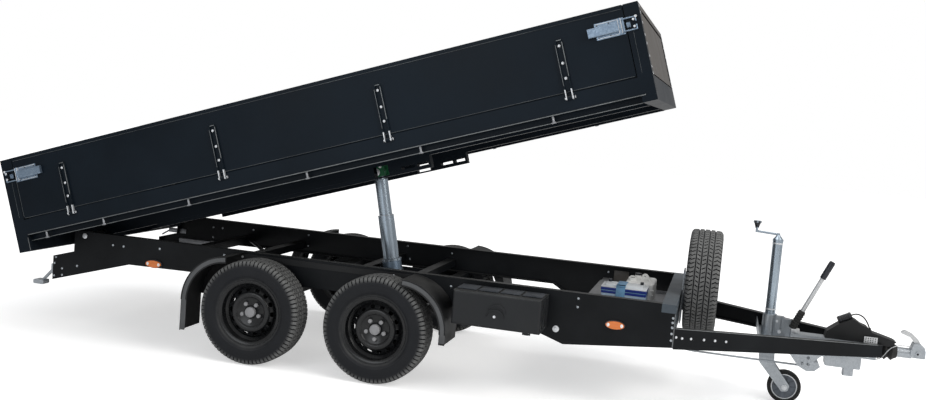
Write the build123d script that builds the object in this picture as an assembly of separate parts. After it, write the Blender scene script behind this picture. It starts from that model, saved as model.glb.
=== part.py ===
from build123d import *
import os
from math import atan2, cos, degrees, hypot, pi, radians, sin, tan

os.makedirs("parts", exist_ok=True)

# Tandem-axle tipper trailer. Millimetres, X forward, Y left, Z up.
# The drawing's X is measured from midway between the axles and is moved by
# ORIGIN_X on saving, so that the finished trailer is centred on the origin.
ORIGIN_X = 675.8

# running gear
WHEELBASE = 786.0
TYRE_R = 314.5
TYRE_W = 195.0
TYRE_Y = 800.0
RIM_R = 195.0
BOLT_PCD = 112.0
VENTS = 14
DISC_IN = 40.0
WHEEL_X = {"rear": -WHEELBASE / 2, "front": WHEELBASE / 2}
SIDES = {"left": 1, "right": -1}

# chassis
RAIL_Y = 660.0
RAIL_T = 5.0
RAIL_FLANGE = 50.0
RAIL_TOP = 640.0
RAIL_LOW = 470.0
RAIL_REAR = -1896.0
RAIL_FRONT = 2065.0
CAP_BACK = 1985.0
CAP_LOW = 592.0
CROSS_W = 60.0
CROSS_LOW = 500.0
CROSS_TOP = 550.0

# bed, drawn lowered and turned about the pivot to its raised rest
TILT = 17.3
BED_X = -1966.0
PIVOT_S = 297.0
PIVOT_X = BED_X + PIVOT_S
PIVOT_Z = 612.0
PIVOT_R = 20.0
PIN_IN = 395.0
BED_Z = 586.0
BED_L = 4016.0
BED_HALF = 925.0
BED_H = 587.0
POST_L = 80.0
POST_W = 60.0
FLOOR_H = 200.0
FLOOR_T = 4.0
SKIRT_LOW = 105.0
LONG_OUT = 470.0
LONG_IN = 410.0
LONG_LOW = 8.0
BOARD_T = 28.0
GATE_T = 34.0
HEAD_T = 40.0
BOARD_GAP = 5.0
BOARD_RIM = 22.0
STRAPS = 4
STRAP_REAR = 432.0
STRAP_FRONT = 448.0
strap_pitch = (BED_L - STRAP_REAR - STRAP_FRONT) / (STRAPS - 1)
STRAP_S = [STRAP_REAR + strap_pitch * i for i in range(STRAPS)]
STRAP_W = 40.0
STRAP_DEEP = 14.0
STRAP_BOLT_H = (278.0, 360.0, 454.0)
HINGE_H = 172.0
HINGE_Y = BED_HALF + 11.0
HINGE_Z = BED_Z + HINGE_H
HINGE_R = 6.0
LATCH_PIN_S = 39.0
LATCH_PIN_R = 6.0
GATE_PIN_X = BED_X + 16.0
GATE_PIN_Z = BED_Z + 572.0
GATE_PIN_R = 8.0
GATE_PIN_IN = BED_HALF - POST_W - 20.0

# hoist
HOIST_X = 262.0
HOIST_Z = 240.0
EYE_S = 2112.0
EYE_H = 40.0
HOIST_PIN_R = 20.0
EAR_IN = 72.0
EAR_T = 8.0
FIT = 0.05

# drawbar
BEAM_NOSE_X = 3206.0
BEAM_NOSE_Y = 92.0
BEAM_T = 5.0
BEAM_FLANGE = 45.0
JOCKEY_X = 2598.0
JOCKEY_Y = 100.0
BALL_X = 3435.0
BALL_Z = 418.0
SHAFT_R = 29.7
BELLOWS_R = 54.0


def box(x0, x1, y0, y1, z0, z1):
    """A block between two corners."""
    size = (x1 - x0, y1 - y0, z1 - z0)
    return Pos((x0 + x1) / 2, (y0 + y1) / 2, (z0 + z1) / 2) * Box(*size)


def prism_y(points, y0, y1):
    """An outline drawn in X and Z, given its width along Y."""
    face = Plane.XZ * Polygon(*points, align=None)
    return Pos(0, y0, 0) * extrude(face, y1 - y0, dir=(0, 1, 0))


def rod(start, end, r):
    """A round bar from one point to another."""
    a = Vector(*start)
    b = Vector(*end)
    plane = Plane(origin=(a + b) * 0.5, z_dir=b - a)
    return plane * Cylinder(r, (b - a).length)


def tube(start, end, r_out, r_in):
    a = Vector(*start)
    b = Vector(*end)
    plane = Plane(origin=(a + b) * 0.5, z_dir=b - a)
    long = (b - a).length
    return plane * (Cylinder(r_out, long) - Cylinder(r_in, long))


def rounded_box(x0, x1, y0, y1, z0, z1, r, axis=Axis.Z):
    """A block whose edges along one axis are rounded."""
    block = box(x0, x1, y0, y1, z0, z1)
    return fillet(block.edges().filter_by(axis), r)


def mirror_side(shape, side):
    """Pieces are drawn on the left and mirrored for the right."""
    return shape if side > 0 else mirror(shape, about=Plane.XZ)


def save(node, shape):
    shape = Pos(-ORIGIN_X, 0, 0) * shape
    if isinstance(shape, ShapeList) or len(shape.solids()) != 1:
        print("CHECK", node, "solids", len(shape.solids()))
    else:
        shape = shape.solids()[0]
    shape.label = node
    export_step(shape, f"parts/{node}.step")


def bed_box(s0, s1, y0, y1, h0, h1):
    """A block in bed measures: s from its rear end, h from its underside."""
    return box(BED_X + s0, BED_X + s1, y0, y1, BED_Z + h0, BED_Z + h1)


def raised(shape, extra=0.0):
    axis = Axis((PIVOT_X, 0, PIVOT_Z), (0, -1, 0))
    return shape.rotate(axis, TILT + extra)


# wheels
def tyre_solid():
    half = TYRE_W / 2
    wall = [(69.5, 176.2), (73.6, 186), (74.6, 197), (88, 206), (half, 240), (half, 262), (92, 296), (74, TYRE_R)]
    lining = [(70, 299), (80, 284), (84, 240), (62, 200), (60, 176.2)]
    profile = [(-y, r) for y, r in wall] + wall[::-1] + [(y, r) for y, r in lining[::-1]] + [(-y, r) for y, r in lining]
    face = Plane.XY * Polygon(*[(r, y) for y, r in profile], align=None)
    return revolve(face, Axis.Y)


def rim_solid():
    """Pressed steel wheel with its brake drum, outer face toward +Y."""
    rim = [
        (80, RIM_R), (80, 190), (72, 176), (30, 174), (20, 158), (-32, 158),
        (-44, 172), (-72, 174), (-80, 188), (-80, RIM_R), (-75, RIM_R),
        (-74, 185.5), (-70, 175.9), (70, 175.9), (74, 185.5), (75, RIM_R),
    ]
    barrel = revolve(Plane.XY * Polygon(*[(r, y) for y, r in rim], align=None), Axis.Y)
    dish = [
        (0, 40), (0, 46), (85, 46), (96, 54), (118, 54), (140, 40), (150, 18),
        (159, 16), (159, 8), (146, 10), (134, 33), (114, 47), (98, 47), (88, 40),
    ]
    disc = revolve(Plane.XY * Polygon(*dish, align=None), Axis.Y)
    for i in range(VENTS):
        slot = Rot(90, 0, 0) * extrude(Rot(0, 0, 90) * SlotOverall(30, 17), 40, both=True)
        disc -= Rot(0, i * 360 / VENTS, 0) * (Pos(134, 30, 0) * slot)
    for i in range(5):
        bolt = Rot(0, i * 72 + 18, 0) * (Pos(BOLT_PCD / 2, 52, 0) * (Rot(90, 0, 0) * Cylinder(13, 14)))
        disc += bolt
    cap = rod((0, DISC_IN, 0), (0, 68, 0), 32)
    drum = rod((0, -92, 0), (0, 40, 0), 110) - rod((0, -93, 0), (0, -60, 0), 104)
    drum -= rod((0, -93, 0), (0, 20, 0), PIVOT_R + FIT)
    return barrel + disc + cap + drum


def place_wheel(shape, x, side):
    shape = shape if side > 0 else Rot(0, 0, 180) * shape
    return Pos(x, side * TYRE_Y, TYRE_R) * shape


the_tyre = tyre_solid()
the_rim = rim_solid()
for end, x in WHEEL_X.items():
    for name, side in SIDES.items():
        save(f"wheel_{end}_{name}_tyre", place_wheel(the_tyre, x, side))
        save(f"wheel_{end}_{name}_rim", place_wheel(the_rim, x, side))

# axles
TUBE_AHEAD = 130.0
for end, x in WHEEL_X.items():
    beam = box(x + TUBE_AHEAD - 35, x + TUBE_AHEAD + 35, -668, 668, RAIL_LOW - 70, RAIL_LOW)
    for side in (1, -1):
        reach = (x + TUBE_AHEAD, RAIL_LOW - 35)
        spin = (x, TYRE_R)
        arm = rod((reach[0], 668, reach[1]), (reach[0], 690, reach[1]), 46)
        arm += rod((spin[0], 668, spin[1]), (spin[0], 700, spin[1]), 46)
        long = hypot(reach[0] - spin[0], reach[1] - spin[1])
        turn = degrees(atan2(reach[1] - spin[1], reach[0] - spin[0]))
        web = Box(long, 22, 70)
        arm += Pos((reach[0] + spin[0]) / 2, 679, (reach[1] + spin[1]) / 2) * (Rot(0, -turn, 0) * web)
        arm += rod((spin[0], 700, spin[1]), (spin[0], 815, spin[1]), PIVOT_R)
        beam += mirror_side(arm, side)
    save(f"axle_{end}", beam)

# rails
rail_outline = [
    (RAIL_REAR, 304), (-1342, RAIL_LOW - 6), (-859, RAIL_LOW), (1170, RAIL_LOW), (1314, 384),
    (1454, 337), (RAIL_FRONT, 400), (RAIL_FRONT, CAP_LOW), (CAP_BACK, CAP_LOW),
    (CAP_BACK, RAIL_TOP), (-1745, RAIL_TOP), (-1745, 504), (-1896, 460),
]


def folded(outline, flange, thick):
    """A plate in X and Z with a flange folded inward along its whole edge."""
    face = Polygon(*outline, align=None)
    inner = offset(face, -thick)
    solid = Plane.XZ * extrude(face, flange)
    hollow = Plane.XZ * extrude(inner, flange)
    return solid - Pos(0, thick, 0) * hollow


for name, side in SIDES.items():
    rail = folded(rail_outline, RAIL_FLANGE, RAIL_T)
    bounds = rail.bounding_box()
    rail = Pos(0, -bounds.min.Y, 0) * rail
    web_at_zero = mirror(rail, about=Plane.XZ)
    rail = Pos(0, -web_at_zero.bounding_box().max.Y + RAIL_Y, 0) * web_at_zero
    rail += rod((PIVOT_X, PIN_IN, PIVOT_Z), (PIVOT_X, RAIL_Y - 1, PIVOT_Z), PIVOT_R)
    save(f"rail_{name}", mirror_side(rail, side))

CROSS_X = (-1150.0, -740.0)
BRACE_R = 12.0
HOIST_CROSS_X = (44.0, 420.0)
TRAY_CROSS_X = 1540.0
inner_y = RAIL_Y - RAIL_T


def cross_tube(x):
    bar = box(x - CROSS_W / 2, x + CROSS_W / 2, -inner_y, inner_y, CROSS_LOW, CROSS_TOP)
    return bar - box(x - CROSS_W / 2 + 4, x + CROSS_W / 2 - 4, -inner_y, inner_y, CROSS_LOW + 4, CROSS_TOP - 4)


members = cross_tube(CROSS_X[0]) + cross_tube(CROSS_X[1])
brace_z = CROSS_TOP - BRACE_R - 3
members += rod((CROSS_X[0], inner_y - 60, brace_z), (CROSS_X[1], 40, brace_z), BRACE_R)
for x in HOIST_CROSS_X:
    members += cross_tube(x)
save("crossmembers", members)

CAP_SKIRT = 4.0
cap_y = RAIL_Y + CAP_SKIRT
cap = box(CAP_BACK, RAIL_FRONT, -cap_y, cap_y, CAP_LOW, RAIL_TOP)
cap -= box(CAP_BACK + 4, RAIL_FRONT - 5, -inner_y, inner_y, CAP_LOW - 1, RAIL_TOP - 4)
plate_y = RAIL_Y - RAIL_FLANGE - 1
front_plate = box(RAIL_FRONT - 9, RAIL_FRONT - 5, -plate_y, plate_y, 420, RAIL_TOP - 4)
save("front_crossmember", cap + front_plate)

tail = box(RAIL_REAR + 5, RAIL_REAR + 65, -inner_y, inner_y, 345, 405)
tail -= box(RAIL_REAR + 9, RAIL_REAR + 61, -inner_y, inner_y, 349, 401)
save("rear_crossmember", tail)

FOOT_OUT = 89.0
foot_y = RAIL_Y - 28
for name, side in SIDES.items():
    arm = rod((RAIL_REAR - 8, foot_y, 372), (RAIL_REAR - FOOT_OUT, foot_y, 284), 10)
    arm += box(RAIL_REAR - 16, RAIL_REAR, foot_y - 22, foot_y + 22, 340, 404)
    pad_x = RAIL_REAR - FOOT_OUT - 51
    arm += rounded_box(pad_x, pad_x + 76, foot_y - 30, foot_y + 30, 262, 290, 8, Axis.Y)
    save(f"rear_foot_{name}", mirror_side(arm, side))

# guards
GUARD_R = 285.0
GUARD_T = 4.0
GUARD_OUT = 147.0
GUARD_UP = 34.5
GUARD_EDGE = 906.0


def quarter_guard(flap_z):
    """Guard ahead of a wheel whose hub is at the origin of X."""
    cz = TYRE_R + GUARD_UP
    mid = (RAIL_Y + GUARD_EDGE) / 2
    wide = GUARD_EDGE - RAIL_Y
    turn = Rot(90, 0, 0)

    def ring(r_out, r_in, y0, y1):
        return Pos(GUARD_OUT, (y0 + y1) / 2, cz) * (turn * (Cylinder(r_out, y1 - y0) - Cylinder(r_in, y1 - y0 + 2)))

    shell = ring(GUARD_R, GUARD_R - GUARD_T, RAIL_Y, GUARD_EDGE)
    shell += ring(GUARD_R, GUARD_R - 36, GUARD_EDGE - GUARD_T, GUARD_EDGE)
    shell += ring(GUARD_R, GUARD_R - 60, RAIL_Y, RAIL_Y + GUARD_T)
    shell += ring(GUARD_R + 2, GUARD_R - 6, GUARD_EDGE - 8, GUARD_EDGE + 3)
    shell += ring(GUARD_R - 30, GUARD_R - 38, GUARD_EDGE - 6, GUARD_EDGE + 3)
    keep = box(GUARD_OUT + 6, GUARD_OUT + GUARD_R + 5, RAIL_Y - 5, GUARD_EDGE + 5, cz, cz + GUARD_R + 5)
    shell = shell & keep
    flap = box(GUARD_OUT + GUARD_R - GUARD_T, GUARD_OUT + GUARD_R, RAIL_Y + 10, GUARD_EDGE, flap_z, cz)
    flap += box(GUARD_OUT + GUARD_R - 36, GUARD_OUT + GUARD_R, GUARD_EDGE - GUARD_T, GUARD_EDGE, cz - 60, cz)
    return shell + flap


for name, side in SIDES.items():
    front = Pos(WHEEL_X["front"], 0, 0) * quarter_guard(295)
    rear = Pos(WHEEL_X["rear"], 0, 0) * mirror(quarter_guard(160), about=Plane.YZ)
    strip = box(WHEEL_X["rear"] - GUARD_OUT - 20, WHEEL_X["front"] + GUARD_OUT + 20,
                RAIL_Y, RAIL_Y + GUARD_T, 590, 625)
    save(f"mudguards_{name}", mirror_side(front + rear + strip, side))

# toolbox
BOX_X0 = 849.0
BOX_X1 = 1352.0
BOX_Z0 = 420.0
BOX_Z1 = 614.0
BOX_OUT = 900.0
DOOR_T = 26.0
WALL = 4.0
DOOR_ROUND = 14.0
BOX_HINGE_IN = 75.0
BOX_PIN_R = 4.0
door_back = -(BOX_OUT - DOOR_T)
door_pin = (door_back, BOX_Z0 - 8)
door_hinge_x = (BOX_X0 + BOX_HINGE_IN, BOX_X1 - BOX_HINGE_IN)
body = box(BOX_X0, BOX_X1, door_back + 1, -RAIL_Y, BOX_Z0, BOX_Z1)
body -= box(BOX_X0 + WALL, BOX_X1 - WALL, -BOX_OUT, -RAIL_Y - WALL, BOX_Z0 + WALL, BOX_Z1 - WALL)
for x in door_hinge_x:
    for x0 in (x - 21, x + 15):
        body += rod((x0, *door_pin), (x0 + 6, *door_pin), 7)
        body += box(x0, x0 + 6, door_pin[0], door_pin[0] + 20, door_pin[1] - 7, BOX_Z0 + 1)
    body += rod((x - 18, *door_pin), (x + 18, *door_pin), BOX_PIN_R)

# four raised pads on the lid, ribs on the front end
PAD_GAP = 14.0
pad_long = (BOX_X1 - BOX_X0 - 3 * PAD_GAP) / 4
pad_y = (door_back + 22, -RAIL_Y - 34)
for i in range(4):
    x0 = BOX_X0 + 6 + i * (pad_long + PAD_GAP - 4)
    pad = rounded_box(x0, x0 + pad_long, *pad_y, BOX_Z1 - 1, BOX_Z1 + 5, 8)
    for y in pad_y:
        pad -= box(x0 + pad_long * 0.3, x0 + pad_long * 0.7, y - 12, y + 12, BOX_Z1, BOX_Z1 + 6)
    body += pad
for y in (-700, -745, -820):
    body += box(BOX_X1 - 1, BOX_X1 + 5, y - 7, y + 7, BOX_Z0 + 20, BOX_Z1 - 14)
save("toolbox_body", body)
door = box(BOX_X0, BOX_X1, -BOX_OUT, door_back, BOX_Z0, BOX_Z1)
door = fillet(door.faces().sort_by(Axis.Y)[0].edges(), DOOR_ROUND)
inside = box(BOX_X0 + WALL, BOX_X1 - WALL, -(BOX_OUT - WALL), door_back + 1, BOX_Z0 + WALL, BOX_Z1 - WALL)
door -= fillet(inside.faces().sort_by(Axis.Y)[0].edges(), DOOR_ROUND - WALL)


def crescent(x, z, r, drop, thick):
    """A curved grab edge, thick at its middle, standing out of the door."""
    face = Circle(r) - Pos(-drop, -thick) * Circle(r)
    face &= Pos(0, r * 0.6) * Rectangle(2 * r, r * 0.9)
    solid = Plane.XZ * extrude(face, 8)
    return Pos(x, -BOX_OUT + 1, z) * solid


door += crescent(1108, 508, 52, 4, 9)
door += crescent(1100, 480, 52, 2, 8)
for x in door_hinge_x:
    eye = box(x - 12, x + 12, door_pin[0] - 8, door_pin[0], door_pin[1], BOX_Z0 + 1)
    eye += rod((x - 12, *door_pin), (x + 12, *door_pin), 7.5)
    door += eye
for x in door_hinge_x:
    door -= rod((x - 22, *door_pin), (x + 22, *door_pin), BOX_PIN_R + FIT)
save("toolbox_door", door)

# tray
TRAY_HALF = 500.0
TRAY_Z = 504.0
TRAY_T = 4.0
tray_x = TRAY_CROSS_X + CROSS_W / 2
tray = box(tray_x, CAP_BACK, -TRAY_HALF, TRAY_HALF, TRAY_Z, TRAY_Z + TRAY_T)
for side in (1, -1):
    y0, y1 = sorted((side * TRAY_HALF, side * (TRAY_HALF - TRAY_T)))
    tray += box(tray_x, CAP_BACK, y0, y1, TRAY_Z, TRAY_Z + 26)
tray += box(CAP_BACK - 4, RAIL_FRONT - 9, -TRAY_HALF, TRAY_HALF, TRAY_Z, TRAY_Z + TRAY_T)
tray += cross_tube(TRAY_CROSS_X)
tray += box(TRAY_CROSS_X - 34, tray_x + 20, -TRAY_HALF, TRAY_HALF, CROSS_TOP, CROSS_TOP + TRAY_T)
save("equipment_tray", tray)

floor_z = TRAY_Z + TRAY_T
battery = rounded_box(1600, 1865, -265, -90, floor_z, floor_z + 104, 5)
battery += rounded_box(1598, 1867, -267, -88, floor_z + 104, floor_z + 130, 6)
battery += rounded_box(1622, 1843, -240, -115, floor_z + 129, floor_z + 140, 4)
for x in (1636, 1829):
    battery += rod((x, -130, floor_z + 139), (x, -130, floor_z + 156), 9)
save("battery", battery)

tank = rounded_box(1712, 1890, 30, 330, floor_z, floor_z + 128, 24)
tank = fillet(tank.faces().sort_by(Axis.Z)[-1].edges(), 16)
tank += rod((1752, 90, floor_z + 126), (1752, 90, floor_z + 148), 26)
tank += rod((1772, 280, floor_z + 126), (1772, 280, floor_z + 150), 20)
grip = [(1800, floor_z + 120), (1806, floor_z + 162), (1820, floor_z + 170), (1836, floor_z + 166),
        (1872, floor_z + 122), (1856, floor_z + 122), (1830, floor_z + 154), (1820, floor_z + 156),
        (1814, floor_z + 120)]
tank += prism_y(grip, 150, 176)
save("oil_tank", tank)

# markers
MARKER_LONG = 52.0
MARKER_TALL = 22.0
MARKER_OUT = 9.0
lamps = None
for side in (1, -1):
    for x, z in ((-1163.0, 491.0), (1739.0, 487.0)):
        lens = Rot(90, 0, 0) * extrude(Ellipse(MARKER_LONG, MARKER_TALL), MARKER_OUT, both=True)
        lamp = mirror_side(Pos(x, RAIL_Y + MARKER_OUT, z) * lens, side)
        lamps = lamp if lamps is None else lamps + lamp
save("side_markers", lamps)

# hoist
eye_low = Vector(BED_X + EYE_S, 0, BED_Z + EYE_H)
rel_x = eye_low.X - PIVOT_X
rel_z = eye_low.Z - PIVOT_Z
ca = cos(radians(TILT))
sa = sin(radians(TILT))
eye = Vector(PIVOT_X + rel_x * ca - rel_z * sa, 0, PIVOT_Z + rel_x * sa + rel_z * ca)
base = Vector(HOIST_X, 0, HOIST_Z)
along = (eye - base).normalized()
HOIST_LONG = (eye - base).length
BARREL_TOP = HOIST_LONG - 574.0
STAGE_1_TOP = HOIST_LONG - 286.0
STAGE_2_TOP = HOIST_LONG - 48.0
STAGE_LONG = 340.0


def at(d):
    p = base + along * d
    return (p.X, p.Y, p.Z)


BARREL_R = 62.0
STAGE_1_R = 52.0
STAGE_2_R = 43.0
barrel = tube(at(24), at(BARREL_TOP), BARREL_R, STAGE_1_R + FIT)
barrel += rod(at(23), at(33), BARREL_R)
barrel += tube(at(BARREL_TOP - 14), at(BARREL_TOP), BARREL_R + 3, BARREL_R - 1)
barrel += tube(at(BARREL_TOP - 84), at(BARREL_TOP - 72), BARREL_R + 6, BARREL_R - 1)
foot_eye = rod((HOIST_X, -30, HOIST_Z), (HOIST_X, 30, HOIST_Z), 34)
foot_eye -= rod((HOIST_X, -40, HOIST_Z), (HOIST_X, 40, HOIST_Z), HOIST_PIN_R + FIT)
barrel += foot_eye
save("hoist_barrel", barrel)
stage_1 = tube(at(STAGE_1_TOP - STAGE_LONG), at(STAGE_1_TOP), STAGE_1_R, STAGE_2_R + FIT)
save("hoist_stage_1", stage_1)
stage_2 = rod(at(STAGE_2_TOP - STAGE_LONG + 40), at(STAGE_2_TOP), STAGE_2_R)
stage_2 += rod(at(STAGE_2_TOP - 1), at(HOIST_LONG), 22)
stage_2 += rod((eye.X, -24, eye.Z), (eye.X, 24, eye.Z), 26)
stage_2 -= rod((eye.X, -30, eye.Z), (eye.X, 30, eye.Z), 16)
save("hoist_stage_2", stage_2)

rear_face = HOIST_CROSS_X[0] + CROSS_W / 2
front_face = HOIST_CROSS_X[1] - CROSS_W / 2
cradle_side = [
    (rear_face, CROSS_TOP), (rear_face, CROSS_LOW), (HOIST_X - 70, HOIST_Z - 20), (HOIST_X - 40, HOIST_Z - 40),
    (HOIST_X + 40, HOIST_Z - 40), (HOIST_X + 70, HOIST_Z - 20), (front_face, CROSS_LOW), (front_face, CROSS_TOP),
]
cradle = prism_y(cradle_side, 75, 83) + prism_y(cradle_side, -83, -75)
cradle += rod((HOIST_X, -83, HOIST_Z), (HOIST_X, 83, HOIST_Z), HOIST_PIN_R)
save("hoist_cradle", cradle)

# bed
# the longerons are deep as far as the hoist and shallow ahead of it; the deep
# part is open beside the hoist's upper eye and slotted toward its front end
DEEP_S0 = 700.0
DEEP_END = 2600.0
DEEP_LOW = -16.0
SHALLOW_LOW = 60.0
EYE_WINDOW = (2235.0, 2330.0, -6.0, 58.0)
SLOTS = ((2412.0, 2498.0, 6.0, 24.0), (2512.0, 2586.0, 6.0, 24.0))
SKIRT_INSET = 45.0
SKIRT_FOLD = 20.0
SKIRT_BOTTOM = 60.0
LEDGE = 65.0
SHEET = 4.0
LIP = 5.0
BEARERS = 9
HOOK_S = (216.0, 627.0, 1217.0, 1994.0, 2691.0, 3453.0)
frame = None


def add(shape):
    global frame
    frame = shape if frame is None else frame + shape


for sign in (1, -1):
    y0, y1 = sorted((sign * LONG_IN, sign * LONG_OUT))
    bar = bed_box(70, DEEP_END, y0, y1, LONG_LOW, SKIRT_LOW)
    bar -= bed_box(60, DEEP_END - 4, y0 + 4, y1 - 4, LONG_LOW + 4, SKIRT_LOW - 4)
    shallow = bed_box(DEEP_END - 4, BED_L - POST_L, y0, y1, SHALLOW_LOW, SKIRT_LOW)
    shallow -= bed_box(DEEP_END, BED_L - POST_L - 4, y0 + 4, y1 - 4, SHALLOW_LOW + 4, SKIRT_LOW - 4)
    girder = bar + shallow + bed_box(DEEP_S0, DEEP_END, y0 + 5, y1 - 5, DEEP_LOW, LONG_LOW + 12)
    for s0, s1, h0, h1 in (EYE_WINDOW, *SLOTS):
        girder -= bed_box(s0, s1, y0 - 1, y1 + 1, h0, h1)
    add(girder)
    skirt_y = BED_HALF - SKIRT_INSET
    y0, y1 = sorted((sign * (skirt_y - SHEET), sign * skirt_y))
    add(bed_box(POST_L, BED_L - POST_L, y0, y1, SKIRT_BOTTOM, SKIRT_LOW))
    y0, y1 = sorted((sign * (skirt_y - SHEET), sign * (skirt_y + SKIRT_FOLD)))
    add(bed_box(POST_L, BED_L - POST_L, y0, y1, SKIRT_BOTTOM, SKIRT_BOTTOM + 3))
    y0, y1 = sorted((sign * (BED_HALF - SHEET), sign * BED_HALF))
    add(bed_box(POST_L, BED_L - POST_L, y0, y1, SKIRT_LOW, FLOOR_H - FLOOR_T))
    y0, y1 = sorted((sign * (BED_HALF - 1), sign * (BED_HALF + LIP)))
    lip = bed_box(POST_L + 8, BED_L - POST_L + 24, y0, y1, SKIRT_LOW - 8, SKIRT_LOW)
    add(fillet(lip.edges().filter_by(Axis.X), 2.5))
    for s in HOOK_S:
        add(rod((BED_X + s, sign * (BED_HALF - 8), BED_Z + 62), (BED_X + s, sign * (BED_HALF - 8), BED_Z + SKIRT_LOW + 1), 6))
    y0, y1 = sorted((sign * (skirt_y - SHEET), sign * BED_HALF))
    add(bed_box(POST_L, BED_L - POST_L, y0, y1, SKIRT_LOW, SKIRT_LOW + SHEET))
    y0, y1 = sorted((sign * (BED_HALF - LEDGE), sign * BED_HALF))
    add(bed_box(POST_L, BED_L - POST_L, y0, y1, FLOOR_H - FLOOR_T - SHEET, FLOOR_H - FLOOR_T))
    for s0, s1 in ((0, POST_L), (BED_L - POST_L, BED_L)):
        y0, y1 = sorted((sign * (BED_HALF - POST_W), sign * BED_HALF))
        post = bed_box(s0, s1, y0, y1, SKIRT_LOW, BED_H)
        post -= bed_box(s0 + 4, s1 - 4, y0 + 4, y1 - 4, SKIRT_LOW + 4, BED_H - 4)
        add(post)
        away = LATCH_PIN_S if s0 == 0 else BED_L - LATCH_PIN_S
        for h in (460, 497):
            add(rod((BED_X + away, sign * (BED_HALF - 2), BED_Z + h), (BED_X + away, sign * (BED_HALF + 20), BED_Z + h),
                    LATCH_PIN_R))
    boss = rod((PIVOT_X, sign * 400, PIVOT_Z), (PIVOT_X, sign * 480, PIVOT_Z), 34)
    add(boss)
rear_beam = bed_box(0, 82, -BED_HALF, BED_HALF, 0, SKIRT_LOW)
rear_beam -= bed_box(4, 78, -BED_HALF + 4, BED_HALF - 4, 4, SKIRT_LOW - 4)
add(rear_beam)
front_beam = bed_box(BED_L - POST_L, BED_L, -BED_HALF, BED_HALF, 62, SKIRT_LOW)
front_beam -= bed_box(BED_L - POST_L + 4, BED_L - 4, -BED_HALF + 4, BED_HALF - 4, 66, SKIRT_LOW - 4)
add(front_beam)
panel_half = BED_HALF - POST_W + 1
add(bed_box(BED_L - 4, BED_L, -panel_half, panel_half, SKIRT_LOW - 2, FLOOR_H - FLOOR_T))
for i in range(BEARERS):
    s = POST_L / 2 + i * (BED_L - POST_L) / (BEARERS - 1)
    member = bed_box(s - 25, s + 25, -BED_HALF + 4, BED_HALF - 4, SKIRT_LOW, FLOOR_H - FLOOR_T)
    member -= bed_box(s - 21, s + 26, -BED_HALF + 8, BED_HALF - 8, SKIRT_LOW + 4, FLOOR_H - FLOOR_T - 4)
    add(member)
ears = bed_box(EYE_S - 62, EYE_S + 62, -EAR_IN - 30, EAR_IN + 30, SKIRT_LOW - 8, SKIRT_LOW)
for sign in (1, -1):
    y0, y1 = sorted((sign * EAR_IN, sign * (EAR_IN + EAR_T)))
    ears += bed_box(EYE_S - 55, EYE_S + 55, y0, y1, 8, SKIRT_LOW - 8)
    ears += tube((BED_X + EYE_S, sign * 26, BED_Z + EYE_H), (BED_X + EYE_S, sign * EAR_IN, BED_Z + EYE_H), 23, 16)
save("hoist_bracket", raised(ears))
add(bed_box(EYE_S - 110, EYE_S + 62, -LONG_OUT, LONG_OUT, SKIRT_LOW, FLOOR_H - FLOOR_T))
for sign in (1, -1):
    for s in STRAP_S:
        y0, y1 = sorted((sign * (BED_HALF - 1), sign * HINGE_Y))
        add(bed_box(s - 12, s + 12, y0, y1, HINGE_H - 10, HINGE_H + 10))
        reach = [(BED_X + s + d, sign * HINGE_Y, HINGE_Z) for d in (-12, 12, -24, 24, 30)]
        add(rod(reach[0], reach[1], 10))
        add(rod(reach[2], reach[4], HINGE_R))
        add(rod(reach[3], reach[4], HINGE_R + 3.5))
    y0, y1 = sorted((sign * (GATE_PIN_IN), sign * (BED_HALF - POST_W + 2)))
    add(rod((GATE_PIN_X, y0, GATE_PIN_Z), (GATE_PIN_X, y1, GATE_PIN_Z), GATE_PIN_R))
frame -= rod((PIVOT_X, -490, PIVOT_Z), (PIVOT_X, 490, PIVOT_Z), PIVOT_R + FIT)
save("bed_frame", raised(frame))

floor_half = BED_HALF - POST_W - 5
floor = bed_box(GATE_T, BED_L - HEAD_T, -floor_half, floor_half, FLOOR_H - FLOOR_T, FLOOR_H)
save("bed_floor", raised(floor))

wall = BED_HALF - POST_W
low = FLOOR_H - FLOOR_T
head = bed_box(BED_L - HEAD_T, BED_L - 4, -wall, wall, low, BED_H)
head -= bed_box(BED_L - HEAD_T - 1, BED_L - 8, -wall + 4, wall - 4, low + 4, BED_H - 4)
head += bed_box(BED_L - 5, BED_L, -wall, wall, BED_H - 32, BED_H)
head += bed_box(BED_L - 5, BED_L, -wall, wall, low, FLOOR_H + 12)
save("headboard", raised(head))

BOARD_S0 = POST_L + BOARD_GAP
BOARD_S1 = BED_L - POST_L - BOARD_GAP
STRAP_TOP = 486.0


def strap(s):
    """A channel bolted to the board, with two cheeks around the hinge lug."""
    half = STRAP_W / 2
    outer = BED_HALF + STRAP_DEEP
    shape = bed_box(s - half, s + half, BED_HALF, outer, HINGE_H + 40, STRAP_TOP - half)
    top = (BED_X + s, BED_Z + STRAP_TOP - half)
    shape += rod((top[0], BED_HALF, top[1]), (top[0], outer, top[1]), half)
    shape -= bed_box(s - half + 5, s + half - 5, BED_HALF + 4, outer + 1, HINGE_H + 30, STRAP_TOP - half)
    shape -= rod((top[0], BED_HALF + 4, top[1]), (top[0], outer + 1, top[1]), half - 5)
    for h in STRAP_BOLT_H:
        shape += rod((top[0], BED_HALF + 3, BED_Z + h), (top[0], BED_HALF + 11, BED_Z + h), 8)
    for s0, s1 in ((s - half, s - half + 5), (s + half - 5, s + half)):
        cheek = bed_box(s0, s1, BED_HALF + 1, HINGE_Y + 8, HINGE_H, HINGE_H + 60)
        cheek += rod((BED_X + s0, HINGE_Y, HINGE_Z), (BED_X + s1, HINGE_Y, HINGE_Z), 10)
        shape += cheek
    hole = (BED_X + s - half - 1, BED_X + s + half + 1)
    return shape - rod((hole[0], HINGE_Y, HINGE_Z), (hole[1], HINGE_Y, HINGE_Z), HINGE_R + FIT)


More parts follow.
